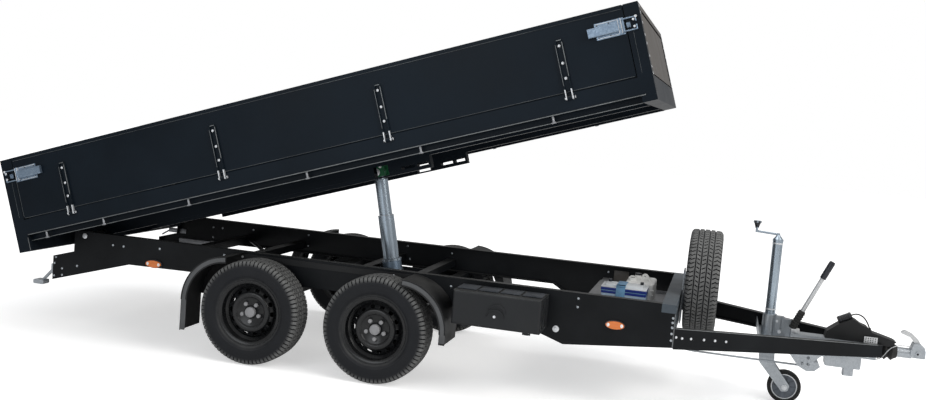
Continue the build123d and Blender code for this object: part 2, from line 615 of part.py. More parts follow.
for name, side in SIDES.items():
    y0 = BED_HALF - BOARD_T
    low = FLOOR_H + BOARD_GAP
    board = bed_box(BOARD_S0, BOARD_S1, y0, BED_HALF, low, BED_H)
    board -= bed_box(BOARD_S0 + 3, BOARD_S1 - 3, y0 - 1, BED_HALF - 3, low + 3, BED_H - 3)
    board += bed_box(BOARD_S0, BOARD_S1, BED_HALF - 1, BED_HALF + 3, BED_H - BOARD_RIM, BED_H)
    for s in STRAP_S:
        board += strap(s)
    save(f"side_board_{name}", raised(mirror_side(board, side)))

gate = bed_box(2, 30, -wall + BOARD_GAP, wall - BOARD_GAP, FLOOR_H + BOARD_GAP, BED_H - 4)
gate -= bed_box(5, 31, -wall + BOARD_GAP + 3, wall - BOARD_GAP - 3, FLOOR_H + BOARD_GAP + 3, BED_H - 7)
for sign in (1, -1):
    y0, y1 = sorted((sign * GATE_PIN_IN, sign * (wall - BOARD_GAP)))
    lug = bed_box(5, 28, y0, y1, 560, BED_H - 4)
    gate += lug - rod((GATE_PIN_X, y0 - 1, GATE_PIN_Z), (GATE_PIN_X, y1 + 1, GATE_PIN_Z), GATE_PIN_R + FIT)
    gate -= rod((GATE_PIN_X, y0 - 9, GATE_PIN_Z), (GATE_PIN_X, y1 + 9, GATE_PIN_Z), GATE_PIN_R + FIT)
save("tailgate", raised(gate))

LATCH_BODY = (BED_L - 286.0, BED_L - 123.0)
LATCH_PLATE = (BED_L - 246.0, BOARD_S1 - 6)
LATCH_H = (433.0, 454.0, 498.0, 521.0)
ROD_H = (446.0, 511.0)
ROD_R = 4.0
HOOK_LONG = 24.0


def latch():
    """An over-centre latch at the board's front end: plates, lever, roller and two hooked rods."""
    shape = bed_box(*LATCH_PLATE, BED_HALF, BED_HALF + 4, LATCH_H[0], LATCH_H[1] + 4)
    shape += bed_box(*LATCH_PLATE, BED_HALF, BED_HALF + 4, LATCH_H[2] - 4, LATCH_H[3])
    shape += bed_box(LATCH_PLATE[0] + 6, LATCH_PLATE[1], BED_HALF, BED_HALF + 3, LATCH_H[0], LATCH_H[3])
    lever = bed_box(*LATCH_BODY, BED_HALF + 3, BED_HALF + 24, LATCH_H[1] - 3, LATCH_H[2] + 3)
    lever = fillet(lever.edges().filter_by(Axis.X), 6)
    shape += lever
    roll = (BED_X + LATCH_BODY[1] + 10, BED_HALF + 11)
    shape += rod((*roll, BED_Z + ROD_H[0] - 9), (*roll, BED_Z + ROD_H[1] + 9), 8.5)
    end = BED_X + BED_L - LATCH_PIN_S + LATCH_PIN_R + 5
    for h, hook_low, hook_high in ((ROD_H[0], -2, HOOK_LONG), (ROD_H[1], -HOOK_LONG, 2)):
        shape += rod((roll[0], roll[1], BED_Z + h), (end, roll[1], BED_Z + h), ROD_R)
        shape += rod((end, roll[1], BED_Z + h + hook_low), (end, roll[1], BED_Z + h + hook_high), ROD_R)
    return shape


mid_plane = Plane(origin=(BED_X + BED_L / 2, 0, 0), z_dir=(1, 0, 0))
for name, side in SIDES.items():
    pair = latch() + mirror(latch(), about=mid_plane)
    save(f"latches_{name}", raised(mirror_side(pair, side)))

# drawbar
run_x = BEAM_NOSE_X - RAIL_FRONT
run_y = RAIL_Y - BEAM_NOSE_Y
beam_long = hypot(run_x, run_y)
beam_turn = degrees(atan2(run_y, run_x))
beam_outline = [(-60, 392), (100, 392), (beam_long + 60, 385), (beam_long + 60, 455), (-60, 511)]
for name, side in SIDES.items():
    beam = folded(beam_outline, BEAM_FLANGE, BEAM_T)
    bounds = beam.bounding_box()
    beam = Pos(0, -bounds.min.Y, 0) * beam
    beam = mirror(beam, about=Plane.XZ)
    beam = Pos(0, -beam.bounding_box().max.Y, 0) * beam
    beam = Pos(RAIL_FRONT, RAIL_Y, 0) * (Rot(0, 0, -beam_turn) * beam)
    beam &= box(RAIL_FRONT, 3230, 50, RAIL_Y, 300, 600)
    save(f"drawbar_beam_{name}", mirror_side(beam, side))


def beam_inside(x):
    """Half the clear width between the two beam webs."""
    return RAIL_Y - run_y / run_x * (x - RAIL_FRONT) - BEAM_T / cos(radians(beam_turn))


BRIDGE_X0 = 2534.0
BRIDGE_X1 = 2700.0
BRIDGE_Z = 400.0
JOCKEY_TUBE_R = 30.0
LEG_R = 25.0
w0 = beam_inside(BRIDGE_X0)
w1 = beam_inside(BRIDGE_X1)
plan = Polygon((BRIDGE_X0, -w0), (BRIDGE_X1, -w1), (BRIDGE_X1, w1), (BRIDGE_X0, w0), align=None)
bridge = Pos(0, 0, BRIDGE_Z) * extrude(plan, 56)
bridge -= box(BRIDGE_X0 + 4, BRIDGE_X1 + 1, -RAIL_Y, RAIL_Y, BRIDGE_Z + 4, BRIDGE_Z + 60)
bridge -= rod((JOCKEY_X, JOCKEY_Y, 390), (JOCKEY_X, JOCKEY_Y, 410), JOCKEY_TUBE_R + FIT)

# clamp casting that grips the jockey tube
CLAMP_TOP = 534.0
clamp = tube((JOCKEY_X, JOCKEY_Y, BRIDGE_Z + 4), (JOCKEY_X, JOCKEY_Y, CLAMP_TOP), JOCKEY_TUBE_R + 12, JOCKEY_TUBE_R + FIT)
casting = box(JOCKEY_X + 34, JOCKEY_X + 84, JOCKEY_Y - 50, JOCKEY_Y - 2, BRIDGE_Z + 4, CLAMP_TOP - 4)
casting += box(JOCKEY_X + 80, JOCKEY_X + 124, JOCKEY_Y - 44, JOCKEY_Y - 8, BRIDGE_Z + 4, CLAMP_TOP - 16)
casting += box(JOCKEY_X + 20, JOCKEY_X + 50, JOCKEY_Y - 34, JOCKEY_Y + 6, BRIDGE_Z + 4, CLAMP_TOP - 8)
casting -= box(JOCKEY_X + 62, JOCKEY_X + 70, JOCKEY_Y - 51, JOCKEY_Y - 40, BRIDGE_Z + 30, CLAMP_TOP)
clamp += casting - rod((JOCKEY_X, JOCKEY_Y, 390), (JOCKEY_X, JOCKEY_Y, 600), JOCKEY_TUBE_R + 5)
clamp += rod((JOCKEY_X + 60, JOCKEY_Y - 50, 440), (JOCKEY_X + 60, JOCKEY_Y - 66, 440), 15)
save("drawbar_bridge", bridge + clamp)

# overrun housing with the brackets under it
HOUSING_X0 = 2660.0
HOUSING_X1 = 3205.0
HOUSING_HALF = 50.0
HOUSING_LOW = 360.0
HOUSING_TOP = 455.0
housing = box(HOUSING_X0 + 60, HOUSING_X1, -HOUSING_HALF, HOUSING_HALF, BRIDGE_Z + 4, HOUSING_TOP)
housing += box(2926, HOUSING_X1, -HOUSING_HALF, HOUSING_HALF, HOUSING_LOW, BRIDGE_Z + 4)
housing -= box(HOUSING_X0 + 64, 2922, -HOUSING_HALF + 6, HOUSING_HALF - 6, BRIDGE_Z, HOUSING_TOP - 6)
gusset = [
    (2728, 408), (2728, 330), (2776, 269), (2830, 241), (2875, 247), (2905, 276),
    (2891, 304), (2862, 300), (2905, 342), (2930, 342), (2930, 408),
]
for y in (-HOUSING_HALF, HOUSING_HALF - 6):
    plate = prism_y(gusset, y, y + 6)
    for x, z in ((2802, 285), (2833, 322), (2837, 284)):
        plate -= rod((x, y - 1, z), (x, y + 7, z), 9)
    housing += plate
housing += rod((2833, -HOUSING_HALF, 262), (2833, HOUSING_HALF, 262), 10)
housing += rounded_box(2926, 3128, -HOUSING_HALF + 4, HOUSING_HALF - 4, 290, 361, 10, Axis.Y)
housing += rounded_box(3034, 3094, -30, 30, 242, 291, 10)
housing -= rod((2940, 0, BALL_Z), (HOUSING_X1 + 1, 0, BALL_Z), SHAFT_R + 0.3)
save("overrun_housing", housing)

# brake rod from the housing's lever back to the axles
BRAKE_ROD_R = 6.0
brake_rod = rod((WHEEL_X["front"] + TUBE_AHEAD + 35, 0, 384), (1560, 0, 300), BRAKE_ROD_R)
brake_rod += rod((1556, 0, 300), (2180, 0, 262), BRAKE_ROD_R)
brake_rod += rod((2176, 0, 262), (2833, 0, 262), BRAKE_ROD_R)
brake_rod -= box(2823, 2900, -HOUSING_HALF, HOUSING_HALF, 240, 280)
save("brake_rod", brake_rod)

# folded boot round the shaft
boot = [
    (HOUSING_X1, 44), (HOUSING_X1 + 14, BELLOWS_R), (HOUSING_X1 + 30, 38), (HOUSING_X1 + 49, BELLOWS_R),
    (HOUSING_X1 + 66, 38), (HOUSING_X1 + 85, BELLOWS_R), (HOUSING_X1 + 101, 42), (HOUSING_X1 + 115, SHAFT_R + 6),
]
boot_in = [(x, max(r - 5, SHAFT_R + 0.3)) for x, r in boot[::-1]]
face = Plane.XZ * Polygon(*boot, *boot_in, align=None)
save("bellows", Pos(0, 0, BALL_Z) * revolve(face, Axis.X))

shaft = rod((3000, 0, BALL_Z), (3400, 0, BALL_Z), SHAFT_R)
head_side = [
    (3391, 440), (3404, 484), (3442, 484), (3464, 464), (3471, 440), (3471, 400), (3400, 400), (3391, 412),
]
head = prism_y(head_side, -38, 38)
head = fillet(head.edges().filter_by(Axis.Y), 5)
for side in (1, -1):
    head += rod((BALL_X - 6, side * 36, 425), (BALL_X - 6, side * 44, 425), 14)
head -= Pos(BALL_X, 0, BALL_Z) * Sphere(25.5)
head -= rod((BALL_X, 0, 380), (BALL_X, 0, BALL_Z), 25.5)
save("coupling_head", shaft + head)
grip = [
    (3410, 484), (3384, 514), (3335, 531), (3333, 541), (3352, 552), (3392, 536), (3428, 506), (3442, 484),
]
save("coupling_handle", prism_y(grip, -15, 15))

# lever with its ribbed sleeve and grip
LEVER_FOOT = (2723.0, 0.0, 470.0)
LEVER_TIP = (2915.0, 0.0, 902.0)


def on_lever(share):
    return tuple(a + (b - a) * share for a, b in zip(LEVER_FOOT, LEVER_TIP))


lever = rod(LEVER_FOOT, LEVER_TIP, 13)
lever += rod(on_lever(0.02), on_lever(0.27), 20)
for i in range(7):
    lever += rod(on_lever(0.03 + 0.034 * i), on_lever(0.045 + 0.034 * i), 23)
lever += rod(on_lever(0.76), LEVER_TIP, 18)
lever += box(2722, 2770, -20, 20, HOUSING_TOP, HOUSING_TOP + 24)
save("handbrake_lever", lever)

# moulded cover over the drawbar's nose
COVER_HALF = 49.0
COVER_T = 3.0
cover_top = [
    (2912, HOUSING_TOP), (2920, 497), (2984, 547.7), (3057, 585.7), (3080, 575), (3105, 558),
    (3143, 545), (3168, 519), (3241, 500), (3292, 486), (3308, 478),
]
cover_low = [(3300, 474.5), (3260, 480), (3215, 478), (3196, HOUSING_TOP)]
shell = prism_y(cover_top + cover_low, -COVER_HALF, COVER_HALF)
cover_in = [(2916, HOUSING_TOP - 1), (2924, 495), (2986, 544), (3056, 581), (3104, 554), (3141, 541),
            (3166, 515), (3190, 506), (3190, HOUSING_TOP - 1)]
shell -= prism_y(cover_in, -COVER_HALF + COVER_T, COVER_HALF - COVER_T)

# plug on its clip, with its lead
PLUG_R = 20.0
PLUG_A = (2975.0, -25.0, 566.0)
PLUG_B = (3048.0, -25.0, 604.0)
plug = rod(PLUG_A, PLUG_B, PLUG_R - 0.3)
save("plug", plug)

LEAD_R = 4.0
lead = [
    (3048.2, -25.0, 604.1), (3066.0, -25.0, 613.4), (3092.0, -26.0, 613.0), (3116.0, -28.0, 601.0), (3135.0, -30.0, 579.0),
    (3148.0, -30.0, 555.0), (3153.3, -30.0, 541.0),
]
WIRE_R = 2.5
wire = [
    (HOUSING_X1 + 1, -46.0, 366.0), (3222.0, -51.0, 371.0), (3241.0, -58.0, 390.0), (3256.0, -62.0, 418.0),
    (3278.0, -61.0, 446.0), (3312.0, -55.0, 464.0), (3350.0, -45.0, 468.0), (3391.0, -30.0, 462.0),
]


def cord(points, r):
    """A round cord along straight runs joined by tangent arcs."""
    points = [Vector(*p) for p in points]
    edges = []
    start = points[0]
    radii = []
    for before, corner, after in zip(points, points[1:], points[2:]):
        back = before - corner
        ahead = after - corner
        turn = radians(180 - back.get_angle(ahead))
        reach = 0.45 * min(back.length, ahead.length)
        radii.append(round(reach / tan(turn / 2), 1))
        enter = corner + back.normalized() * reach
        leave = corner + ahead.normalized() * reach
        edges.append(Line(start, enter))
        edges.append(TangentArc(enter, leave, tangent=(corner - enter)))
        start = leave
    edges.append(Line(start, points[-1]))
    path = Wire(edges)
    section = Plane(origin=points[0], z_dir=points[1] - points[0]) * Circle(r)
    solid = sweep(section, path=path)
    print("radii", radii, "volume share", round(solid.volume / (pi * r * r * path.length), 4))
    return solid


gland = Vector(*lead[-1]) - Vector(*lead[-2])
gland_end = Vector(*lead[-1]) + gland.normalized() * 34
shell += rod(lead[-1], (gland_end.X, gland_end.Y, gland_end.Z), 8)
shell -= prism_y(cover_in, -COVER_HALF + COVER_T, COVER_HALF - COVER_T)
save("nose_cover", shell)
save("plug_cable", cord(lead, LEAD_R))
save("breakaway_cable", cord(wire, WIRE_R))

# jockey stand
TUBE_TOP = 985.0
outer = tube((JOCKEY_X, JOCKEY_Y, 350), (JOCKEY_X, JOCKEY_Y, TUBE_TOP), JOCKEY_TUBE_R, LEG_R + FIT)
outer += rod((JOCKEY_X, JOCKEY_Y, TUBE_TOP - 8), (JOCKEY_X, JOCKEY_Y, TUBE_TOP + 8), JOCKEY_TUBE_R + 2)
outer += Pos(JOCKEY_X, JOCKEY_Y, TUBE_TOP + 20) * Cone(JOCKEY_TUBE_R, 10, 26)
outer += rod((JOCKEY_X, JOCKEY_Y, TUBE_TOP + 20), (JOCKEY_X, JOCKEY_Y, TUBE_TOP + 44), 9)
outer += rod((JOCKEY_X + 8, JOCKEY_Y, TUBE_TOP + 36), (JOCKEY_X - 134, JOCKEY_Y, TUBE_TOP + 44), 7)
outer += rod((JOCKEY_X - 130, JOCKEY_Y, TUBE_TOP + 38), (JOCKEY_X - 130, JOCKEY_Y, TUBE_TOP + 70), 7)
outer += Pos(JOCKEY_X - 130, JOCKEY_Y, TUBE_TOP + 80) * Cone(10, 19, 34)
outer += rod((JOCKEY_X - 130, JOCKEY_Y, TUBE_TOP + 96), (JOCKEY_X - 130, JOCKEY_Y, TUBE_TOP + 108), 21)
save("jockey_tube", outer)
save("jockey_leg", rod((JOCKEY_X, JOCKEY_Y, 340), (JOCKEY_X, JOCKEY_Y, 700), LEG_R))
JOCKEY_R = 100.0
JOCKEY_TREAD = 28.0
FORK_HALF = 40.0
CASTER = 126.0
fork_x = JOCKEY_X + CASTER
fork = box(JOCKEY_X - 40, JOCKEY_X + 50, JOCKEY_Y - FORK_HALF, JOCKEY_Y + FORK_HALF, 290, 298)
fork += rod((JOCKEY_X, JOCKEY_Y, 296), (JOCKEY_X, JOCKEY_Y, 339.7), LEG_R - 4)
cheek = [
    (JOCKEY_X - 40, 298), (JOCKEY_X + 50, 298), (JOCKEY_X + 54, 240), (fork_x + 30, JOCKEY_R + 12),
    (fork_x + 22, JOCKEY_R - 22), (fork_x - 14, JOCKEY_R - 28), (JOCKEY_X - 34, 236),
]
for y in (JOCKEY_Y - FORK_HALF, JOCKEY_Y + FORK_HALF - 5):
    side_plate = prism_y(cheek, y, y + 5)
    fork += fillet(side_plate.edges().filter_by(Axis.Y).sort_by(Axis.Z)[:3], 14)
fork += rod((fork_x, JOCKEY_Y - FORK_HALF - 6, JOCKEY_R), (fork_x, JOCKEY_Y + FORK_HALF + 6, JOCKEY_R), 8)
save("jockey_fork", fork)
tread = [
    (JOCKEY_R, -JOCKEY_TREAD + 8), (JOCKEY_R, JOCKEY_TREAD - 8), (JOCKEY_R - 8, JOCKEY_TREAD), (80, JOCKEY_TREAD),
    (76, 12), (70, 8), (26, 8), (22, JOCKEY_TREAD), (0, JOCKEY_TREAD), (0, -JOCKEY_TREAD), (22, -JOCKEY_TREAD),
    (26, -8), (70, -8), (76, -12), (80, -JOCKEY_TREAD), (JOCKEY_R - 8, -JOCKEY_TREAD),
]
roller = revolve(Plane.XY * Polygon(*tread, align=None), Axis.Y)
for i in range(10):
    roller += Rot(0, i * 36, 0) * box(20, 77, -20, 20, -2.5, 2.5)
roller -= rod((0, -JOCKEY_TREAD - 1, 0), (0, JOCKEY_TREAD + 1, 0), 8 + FIT)
save("jockey_wheel", Pos(fork_x, JOCKEY_Y, JOCKEY_R) * roller)

# spare
SPARE_X = 2182.0
SPARE_Z = 700.0
DRUM_R = 110.0


def stand(shape):
    return Pos(SPARE_X, 0, SPARE_Z) * (Rot(0, 0, -90) * shape)


save("spare_tyre", stand(the_tyre))
spare_rim = the_rim - rod((0, -93, 0), (0, DISC_IN - 1, 0), DRUM_R + 1)
save("spare_rim", stand(spare_rim))
carrier = box(RAIL_FRONT, RAIL_FRONT + 8, -60, 60, 430, SPARE_Z + 60)
carrier += rod((RAIL_FRONT + 8, 0, SPARE_Z), (SPARE_X + DISC_IN - 1, 0, SPARE_Z), 45)
save("spare_carrier", carrier)
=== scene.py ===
import bpy
from math import atan2, cos, pi, radians, sin
from mathutils import Matrix, Vector


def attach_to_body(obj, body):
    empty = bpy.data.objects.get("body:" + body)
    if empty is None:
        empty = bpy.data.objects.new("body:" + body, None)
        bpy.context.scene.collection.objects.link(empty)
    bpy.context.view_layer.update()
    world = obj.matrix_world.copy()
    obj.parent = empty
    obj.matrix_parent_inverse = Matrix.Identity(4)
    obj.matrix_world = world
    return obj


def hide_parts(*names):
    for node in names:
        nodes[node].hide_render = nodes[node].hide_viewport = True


# Tandem-axle tipper trailer, dressed for rendering.
# Places are in millimetres from midway between the axles, as the frame was drawn.

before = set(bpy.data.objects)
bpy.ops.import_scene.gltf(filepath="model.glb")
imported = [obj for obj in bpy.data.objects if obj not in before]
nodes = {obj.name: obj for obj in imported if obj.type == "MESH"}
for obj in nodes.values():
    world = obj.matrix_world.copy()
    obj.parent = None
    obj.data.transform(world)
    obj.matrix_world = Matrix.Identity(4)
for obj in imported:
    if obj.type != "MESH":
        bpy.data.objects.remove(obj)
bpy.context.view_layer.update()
print("frame loaded,", len(nodes), "nodes")

drawn = {"originX": 675.8, "tilt": 17.3, "pivot": (-1669.0, 612.0), "bedRear": -1966.0, "bedLow": 586.0}
sides = {"left": 1, "right": -1}
axles = {"rear": -393.0, "front": 393.0}


def spot(x, y, z):
    return Vector((x - drawn["originX"], y, z)) / 1000


pivot = spot(drawn["pivot"][0], 0, drawn["pivot"][1])
bedTurn = (Matrix.Translation(pivot) @ Matrix.Rotation(-radians(drawn["tilt"]), 4, "Y")
           @ Matrix.Translation(-pivot))


def onBed(s, y, h):
    # a place on the raised bed, s from its rear end and h from its underside
    return bedTurn @ spot(drawn["bedRear"] + s, y, drawn["bedLow"] + h)


# modelling helpers

def deselect():
    bpy.ops.object.select_all(action="DESELECT")


def pick(*pieces):
    deselect()
    for piece in pieces:
        piece.select_set(True)
    bpy.context.view_layer.objects.active = pieces[0]


def editing(piece, selectMode="VERT"):
    pick(piece)
    bpy.ops.object.mode_set(mode="EDIT")
    bpy.ops.mesh.select_mode(type=selectMode)
    bpy.ops.mesh.select_all(action="DESELECT")


def done():
    bpy.ops.object.mode_set(mode="OBJECT")


def selectFaces(piece, wanted):
    # opens the piece for editing with only the wanted faces selected
    editing(piece, "FACE")
    done()
    for face in piece.data.polygons:
        face.select = wanted(face)
    bpy.ops.object.mode_set(mode="EDIT")


def selectVertices(piece, wanted):
    # opens the piece for editing with only the wanted vertices selected
    editing(piece)
    done()
    for vertex in piece.data.vertices:
        vertex.select = wanted(vertex)
    bpy.ops.object.mode_set(mode="EDIT")


def settle(piece, place=None):
    # the piece's place goes into its mesh
    if place is not None:
        piece.matrix_world = place @ piece.matrix_world
        bpy.context.view_layer.update()
    pick(piece)
    bpy.ops.object.transform_apply(location=True, rotation=True, scale=True)


def smooth(piece, angle=35):
    pick(piece)
    bpy.ops.object.shade_smooth_by_angle(angle=radians(angle))


def finishModifiers(piece):
    pick(piece)
    for modifier in list(piece.modifiers):
        bpy.ops.object.modifier_apply(modifier=modifier.name)


def cutAway(piece, cutters):
    cutter = joined("cutter", cutters)
    cut = piece.modifiers.new("cut", "BOOLEAN")
    cut.operation = "DIFFERENCE"
    cut.object = cutter
    cut.solver = "EXACT"
    finishModifiers(piece)
    bpy.data.objects.remove(cutter)


def joined(name, pieces):
    pick(*pieces)
    if len(pieces) > 1:
        bpy.ops.object.join()
    piece = bpy.context.view_layer.objects.active
    piece.name = name
    piece.data.name = name
    return piece


def copyOf(piece, name, place):
    twin = piece.copy()
    twin.data = piece.data.copy()
    twin.name = name
    twin.data.name = name
    bpy.context.collection.objects.link(twin)
    settle(twin, place)
    return twin


def facing(way):
    # turns Z to a way
    return Vector(way).to_track_quat("Z", "Y").to_matrix().to_4x4()


def block(low, high, edge=1.0):
    # a block between two corners in millimetres, with eased edges
    low, high = Vector(low), Vector(high)
    deselect()
    middle = (low + high) / 2
    bpy.ops.mesh.primitive_cube_add(size=1, location=spot(*middle))
    piece = bpy.context.object
    piece.scale = (high - low) / 1000
    settle(piece)
    if edge:
        editing(piece)
        bpy.ops.mesh.select_all(action="SELECT")
        bpy.ops.mesh.bevel(offset=edge / 1000, segments=2, affect="EDGES")
        done()
    return piece


def bar(start, end, radius, sides=20, edge=0.8, endRadius=None):
    # a round bar between two places in metres, radius in millimetres, with eased rims
    start, end = Vector(start), Vector(end)
    deselect()
    bpy.ops.mesh.primitive_cone_add(vertices=sides, radius1=radius / 1000,
                                    radius2=(endRadius or radius) / 1000, depth=(end - start).length)
    piece = bpy.context.object
    if edge:
        selectFaces(piece, lambda face: abs(face.normal.z) > 0.99)
        bpy.ops.mesh.bevel(offset=edge / 1000, segments=2, affect="EDGES")
        done()
    settle(piece, Matrix.Translation((start + end) / 2) @ facing(end - start))
    return piece


def drawnLine(points, name):
    # a line drawn from vertex to vertex, in metres, left open for editing
    deselect()
    bpy.ops.mesh.primitive_plane_add(size=0.01, location=points[0])
    piece = bpy.context.object
    piece.name = name
    settle(piece)
    editing(piece)
    bpy.ops.mesh.select_all(action="SELECT")
    bpy.ops.mesh.merge(type="CENTER")
    for before, after in zip(points, points[1:]):
        step = Vector(after) - Vector(before)
        bpy.ops.mesh.extrude_region_move(TRANSFORM_OT_translate={"value": step})
    return piece


def closeLine(piece):
    # joins the last vertex of a drawn line to its first
    done()
    ends = (0, len(piece.data.vertices) - 1)
    selectVertices(piece, lambda vertex: vertex.index in ends)
    bpy.ops.mesh.edge_face_add()


def sweep(steps, axis):
    # spins the line that is open for editing once round an axis, and welds it
    bpy.ops.mesh.select_all(action="SELECT")
    bpy.ops.mesh.spin(steps=steps, angle=2 * pi, center=(0, 0, 0), axis=axis)
    bpy.ops.mesh.select_all(action="SELECT")
    bpy.ops.mesh.remove_doubles(threshold=0.00002)
    bpy.ops.mesh.select_all(action="SELECT")
    bpy.ops.mesh.normals_make_consistent(inside=False)
    done()


def spun(name, profile, steps, closed=False):
    # a profile of (radius, along Z) in millimetres spun about Z
    piece = drawnLine([Vector((r, 0, z)) / 1000 for r, z in profile], name)
    if closed:
        closeLine(piece)
    sweep(steps, (0, 0, 1))
    return piece


def along(start, end):
    # from the start, with Z towards the end
    return Matrix.Translation(start) @ facing(Vector(end) - Vector(start))


# camera, matched to the photo

view = {"place": (2256.46, -6387.88, 1604.35), "yaw": 14.25, "pitch": -4.91, "roll": -4.76,
        "focal": 1026.142, "wide": 926, "sensor": 36}

bpy.ops.object.camera_add(location=spot(*view["place"]))
camera = bpy.context.object
camera.name = "camera"
turn = (Matrix.Rotation(radians(view["yaw"]), 3, "Z") @ Matrix.Rotation(radians(view["pitch"]), 3, "X")
        @ Matrix.Rotation(radians(view["roll"]), 3, "Y") @ Matrix.Rotation(radians(90), 3, "X"))
camera.rotation_euler = turn.to_euler()
camera.data.sensor_width = view["sensor"]
camera.data.sensor_fit = "HORIZONTAL"
camera.data.lens = view["focal"] / view["wide"] * view["sensor"]
camera.data.clip_end = 200
bpy.context.scene.camera = camera
print("camera set")


# shader groups

def newGroup(name, inputs, outputs):
    group = bpy.data.node_groups.new(name, "ShaderNodeTree")
    for label, kind, value in inputs:
        socket = group.interface.new_socket(name=label, in_out="INPUT", socket_type=kind)
        socket.default_value = value
    for label, kind in outputs:
        group.interface.new_socket(name=label, in_out="OUTPUT", socket_type=kind)
    return group, group.nodes.new("NodeGroupInput"), group.nodes.new("NodeGroupOutput")


def addNode(tree, kind, **settings):
    node = tree.nodes.new(kind)
    for key, value in settings.items():
        setattr(node, key, value)
    return node


def feed(tree, socket, value):
    # a plain value is set, a node's output is linked
    if isinstance(value, (int, float, tuple)):
        socket.default_value = value
    else:
        tree.links.new(value, socket)


def noiseIn(tree, scale, detail, rough):
    place = addNode(tree, "ShaderNodeTexCoord")
    noise = addNode(tree, "ShaderNodeTexNoise")
    tree.links.new(place.outputs["Object"], noise.inputs["Vector"])
    feed(tree, noise.inputs["Scale"], scale)
    noise.inputs["Detail"].default_value = detail
    noise.inputs["Roughness"].default_value = rough
    return noise


def ramped(tree, value, low, high, toLow=0.0, toHigh=1.0):
    span = addNode(tree, "ShaderNodeMapRange", clamp=True)
    tree.links.new(value, span.inputs["Value"])
    for label, number in (("From Min", low), ("From Max", high), ("To Min", toLow), ("To Max", toHigh)):
        feed(tree, span.inputs[label], number)
    return span.outputs["Result"]


def reckon(tree, operation, first, second):
    result = addNode(tree, "ShaderNodeMath", operation=operation)
    feed(tree, result.inputs[0], first)
    feed(tree, result.inputs[1], second)
    return result.outputs[0]


def blended(tree, share, first, second):
    mixer = addNode(tree, "ShaderNodeMix", data_type="RGBA")
    tree.links.new(share, mixer.inputs["Factor"])
    feed(tree, mixer.inputs["A"], first)
    feed(tree, mixer.inputs["B"], second)
    return mixer.outputs["Result"]


def makeDustFilm():
    # road dust that gathers on what faces up, patchy
    group, given, out = newGroup(
        "dustFilm",
        [("Clean", "NodeSocketColor", (0.02, 0.02, 0.02, 1)),
         ("Dust", "NodeSocketColor", (0.25, 0.23, 0.2, 1)),
         ("On Top", "NodeSocketFloat", 0.3), ("All Over", "NodeSocketFloat", 0.05),
         ("Patch Scale", "NodeSocketFloat", 4.0)],
        [("Color", "NodeSocketColor"), ("Mask", "NodeSocketFloat")])
    place = addNode(group, "ShaderNodeTexCoord")
    split = addNode(group, "ShaderNodeSeparateXYZ")
    group.links.new(place.outputs["Normal"], split.inputs[0])
    upward = ramped(group, split.outputs["Z"], 0.2, 0.95)
    patches = noiseIn(group, given.outputs["Patch Scale"], 6.0, 0.65)
    patchy = ramped(group, patches.outputs["Fac"], 0.35, 0.72)
    onTop = reckon(group, "MULTIPLY", upward, given.outputs["On Top"])
    share = reckon(group, "ADD", onTop, given.outputs["All Over"])
    mask = reckon(group, "MULTIPLY", share, reckon(group, "ADD", patchy, 0.25))
    group.links.new(blended(group, mask, given.outputs["Clean"], given.outputs["Dust"]), out.inputs["Color"])
    group.links.new(mask, out.inputs["Mask"])
    return group


def makeShadeDrift():
    # slow drift of shade and gloss over a painted or moulded face
    group, given, out = newGroup(
        "shadeDrift",
        [("Color", "NodeSocketColor", (0.02, 0.02, 0.02, 1)), ("Depth", "NodeSocketFloat", 0.2),
         ("Scale", "NodeSocketFloat", 3.0), ("Gloss Low", "NodeSocketFloat", 0.3),
         ("Gloss High", "NodeSocketFloat", 0.45)],
        [("Color", "NodeSocketColor"), ("Roughness", "NodeSocketFloat")])
    drift = noiseIn(group, given.outputs["Scale"], 5.0, 0.6)
    darker = reckon(group, "SUBTRACT", 1.0, given.outputs["Depth"])
    lighter = reckon(group, "ADD", 1.0, given.outputs["Depth"])
    level = ramped(group, drift.outputs["Fac"], 0.3, 0.7, darker, lighter)
    scaleUp = addNode(group, "ShaderNodeVectorMath", operation="SCALE")
    group.links.new(given.outputs["Color"], scaleUp.inputs[0])
    group.links.new(level, scaleUp.inputs["Scale"])
    group.links.new(scaleUp.outputs[0], out.inputs["Color"])
    group.links.new(ramped(group, drift.outputs["Fac"], 0.3, 0.7, given.outputs["Gloss Low"],
                           given.outputs["Gloss High"]), out.inputs["Roughness"])
    return group


def makeFineGrain():
    # orange peel of paint, or the grain of a moulded face, as a normal
    group, given, out = newGroup(
        "fineGrain",
        [("Scale", "NodeSocketFloat", 400.0), ("Strength", "NodeSocketFloat", 0.1),
         ("Depth", "NodeSocketFloat", 0.0003)],
        [("Normal", "NodeSocketVector")])
    grain = noiseIn(group, given.outputs["Scale"], 3.0, 0.5)
    bump = addNode(group, "ShaderNodeBump")
    group.links.new(grain.outputs["Fac"], bump.inputs["Height"])
    group.links.new(given.outputs["Strength"], bump.inputs["Strength"])
    group.links.new(given.outputs["Depth"], bump.inputs["Distance"])
    group.links.new(bump.outputs["Normal"], out.inputs["Normal"])
    return group


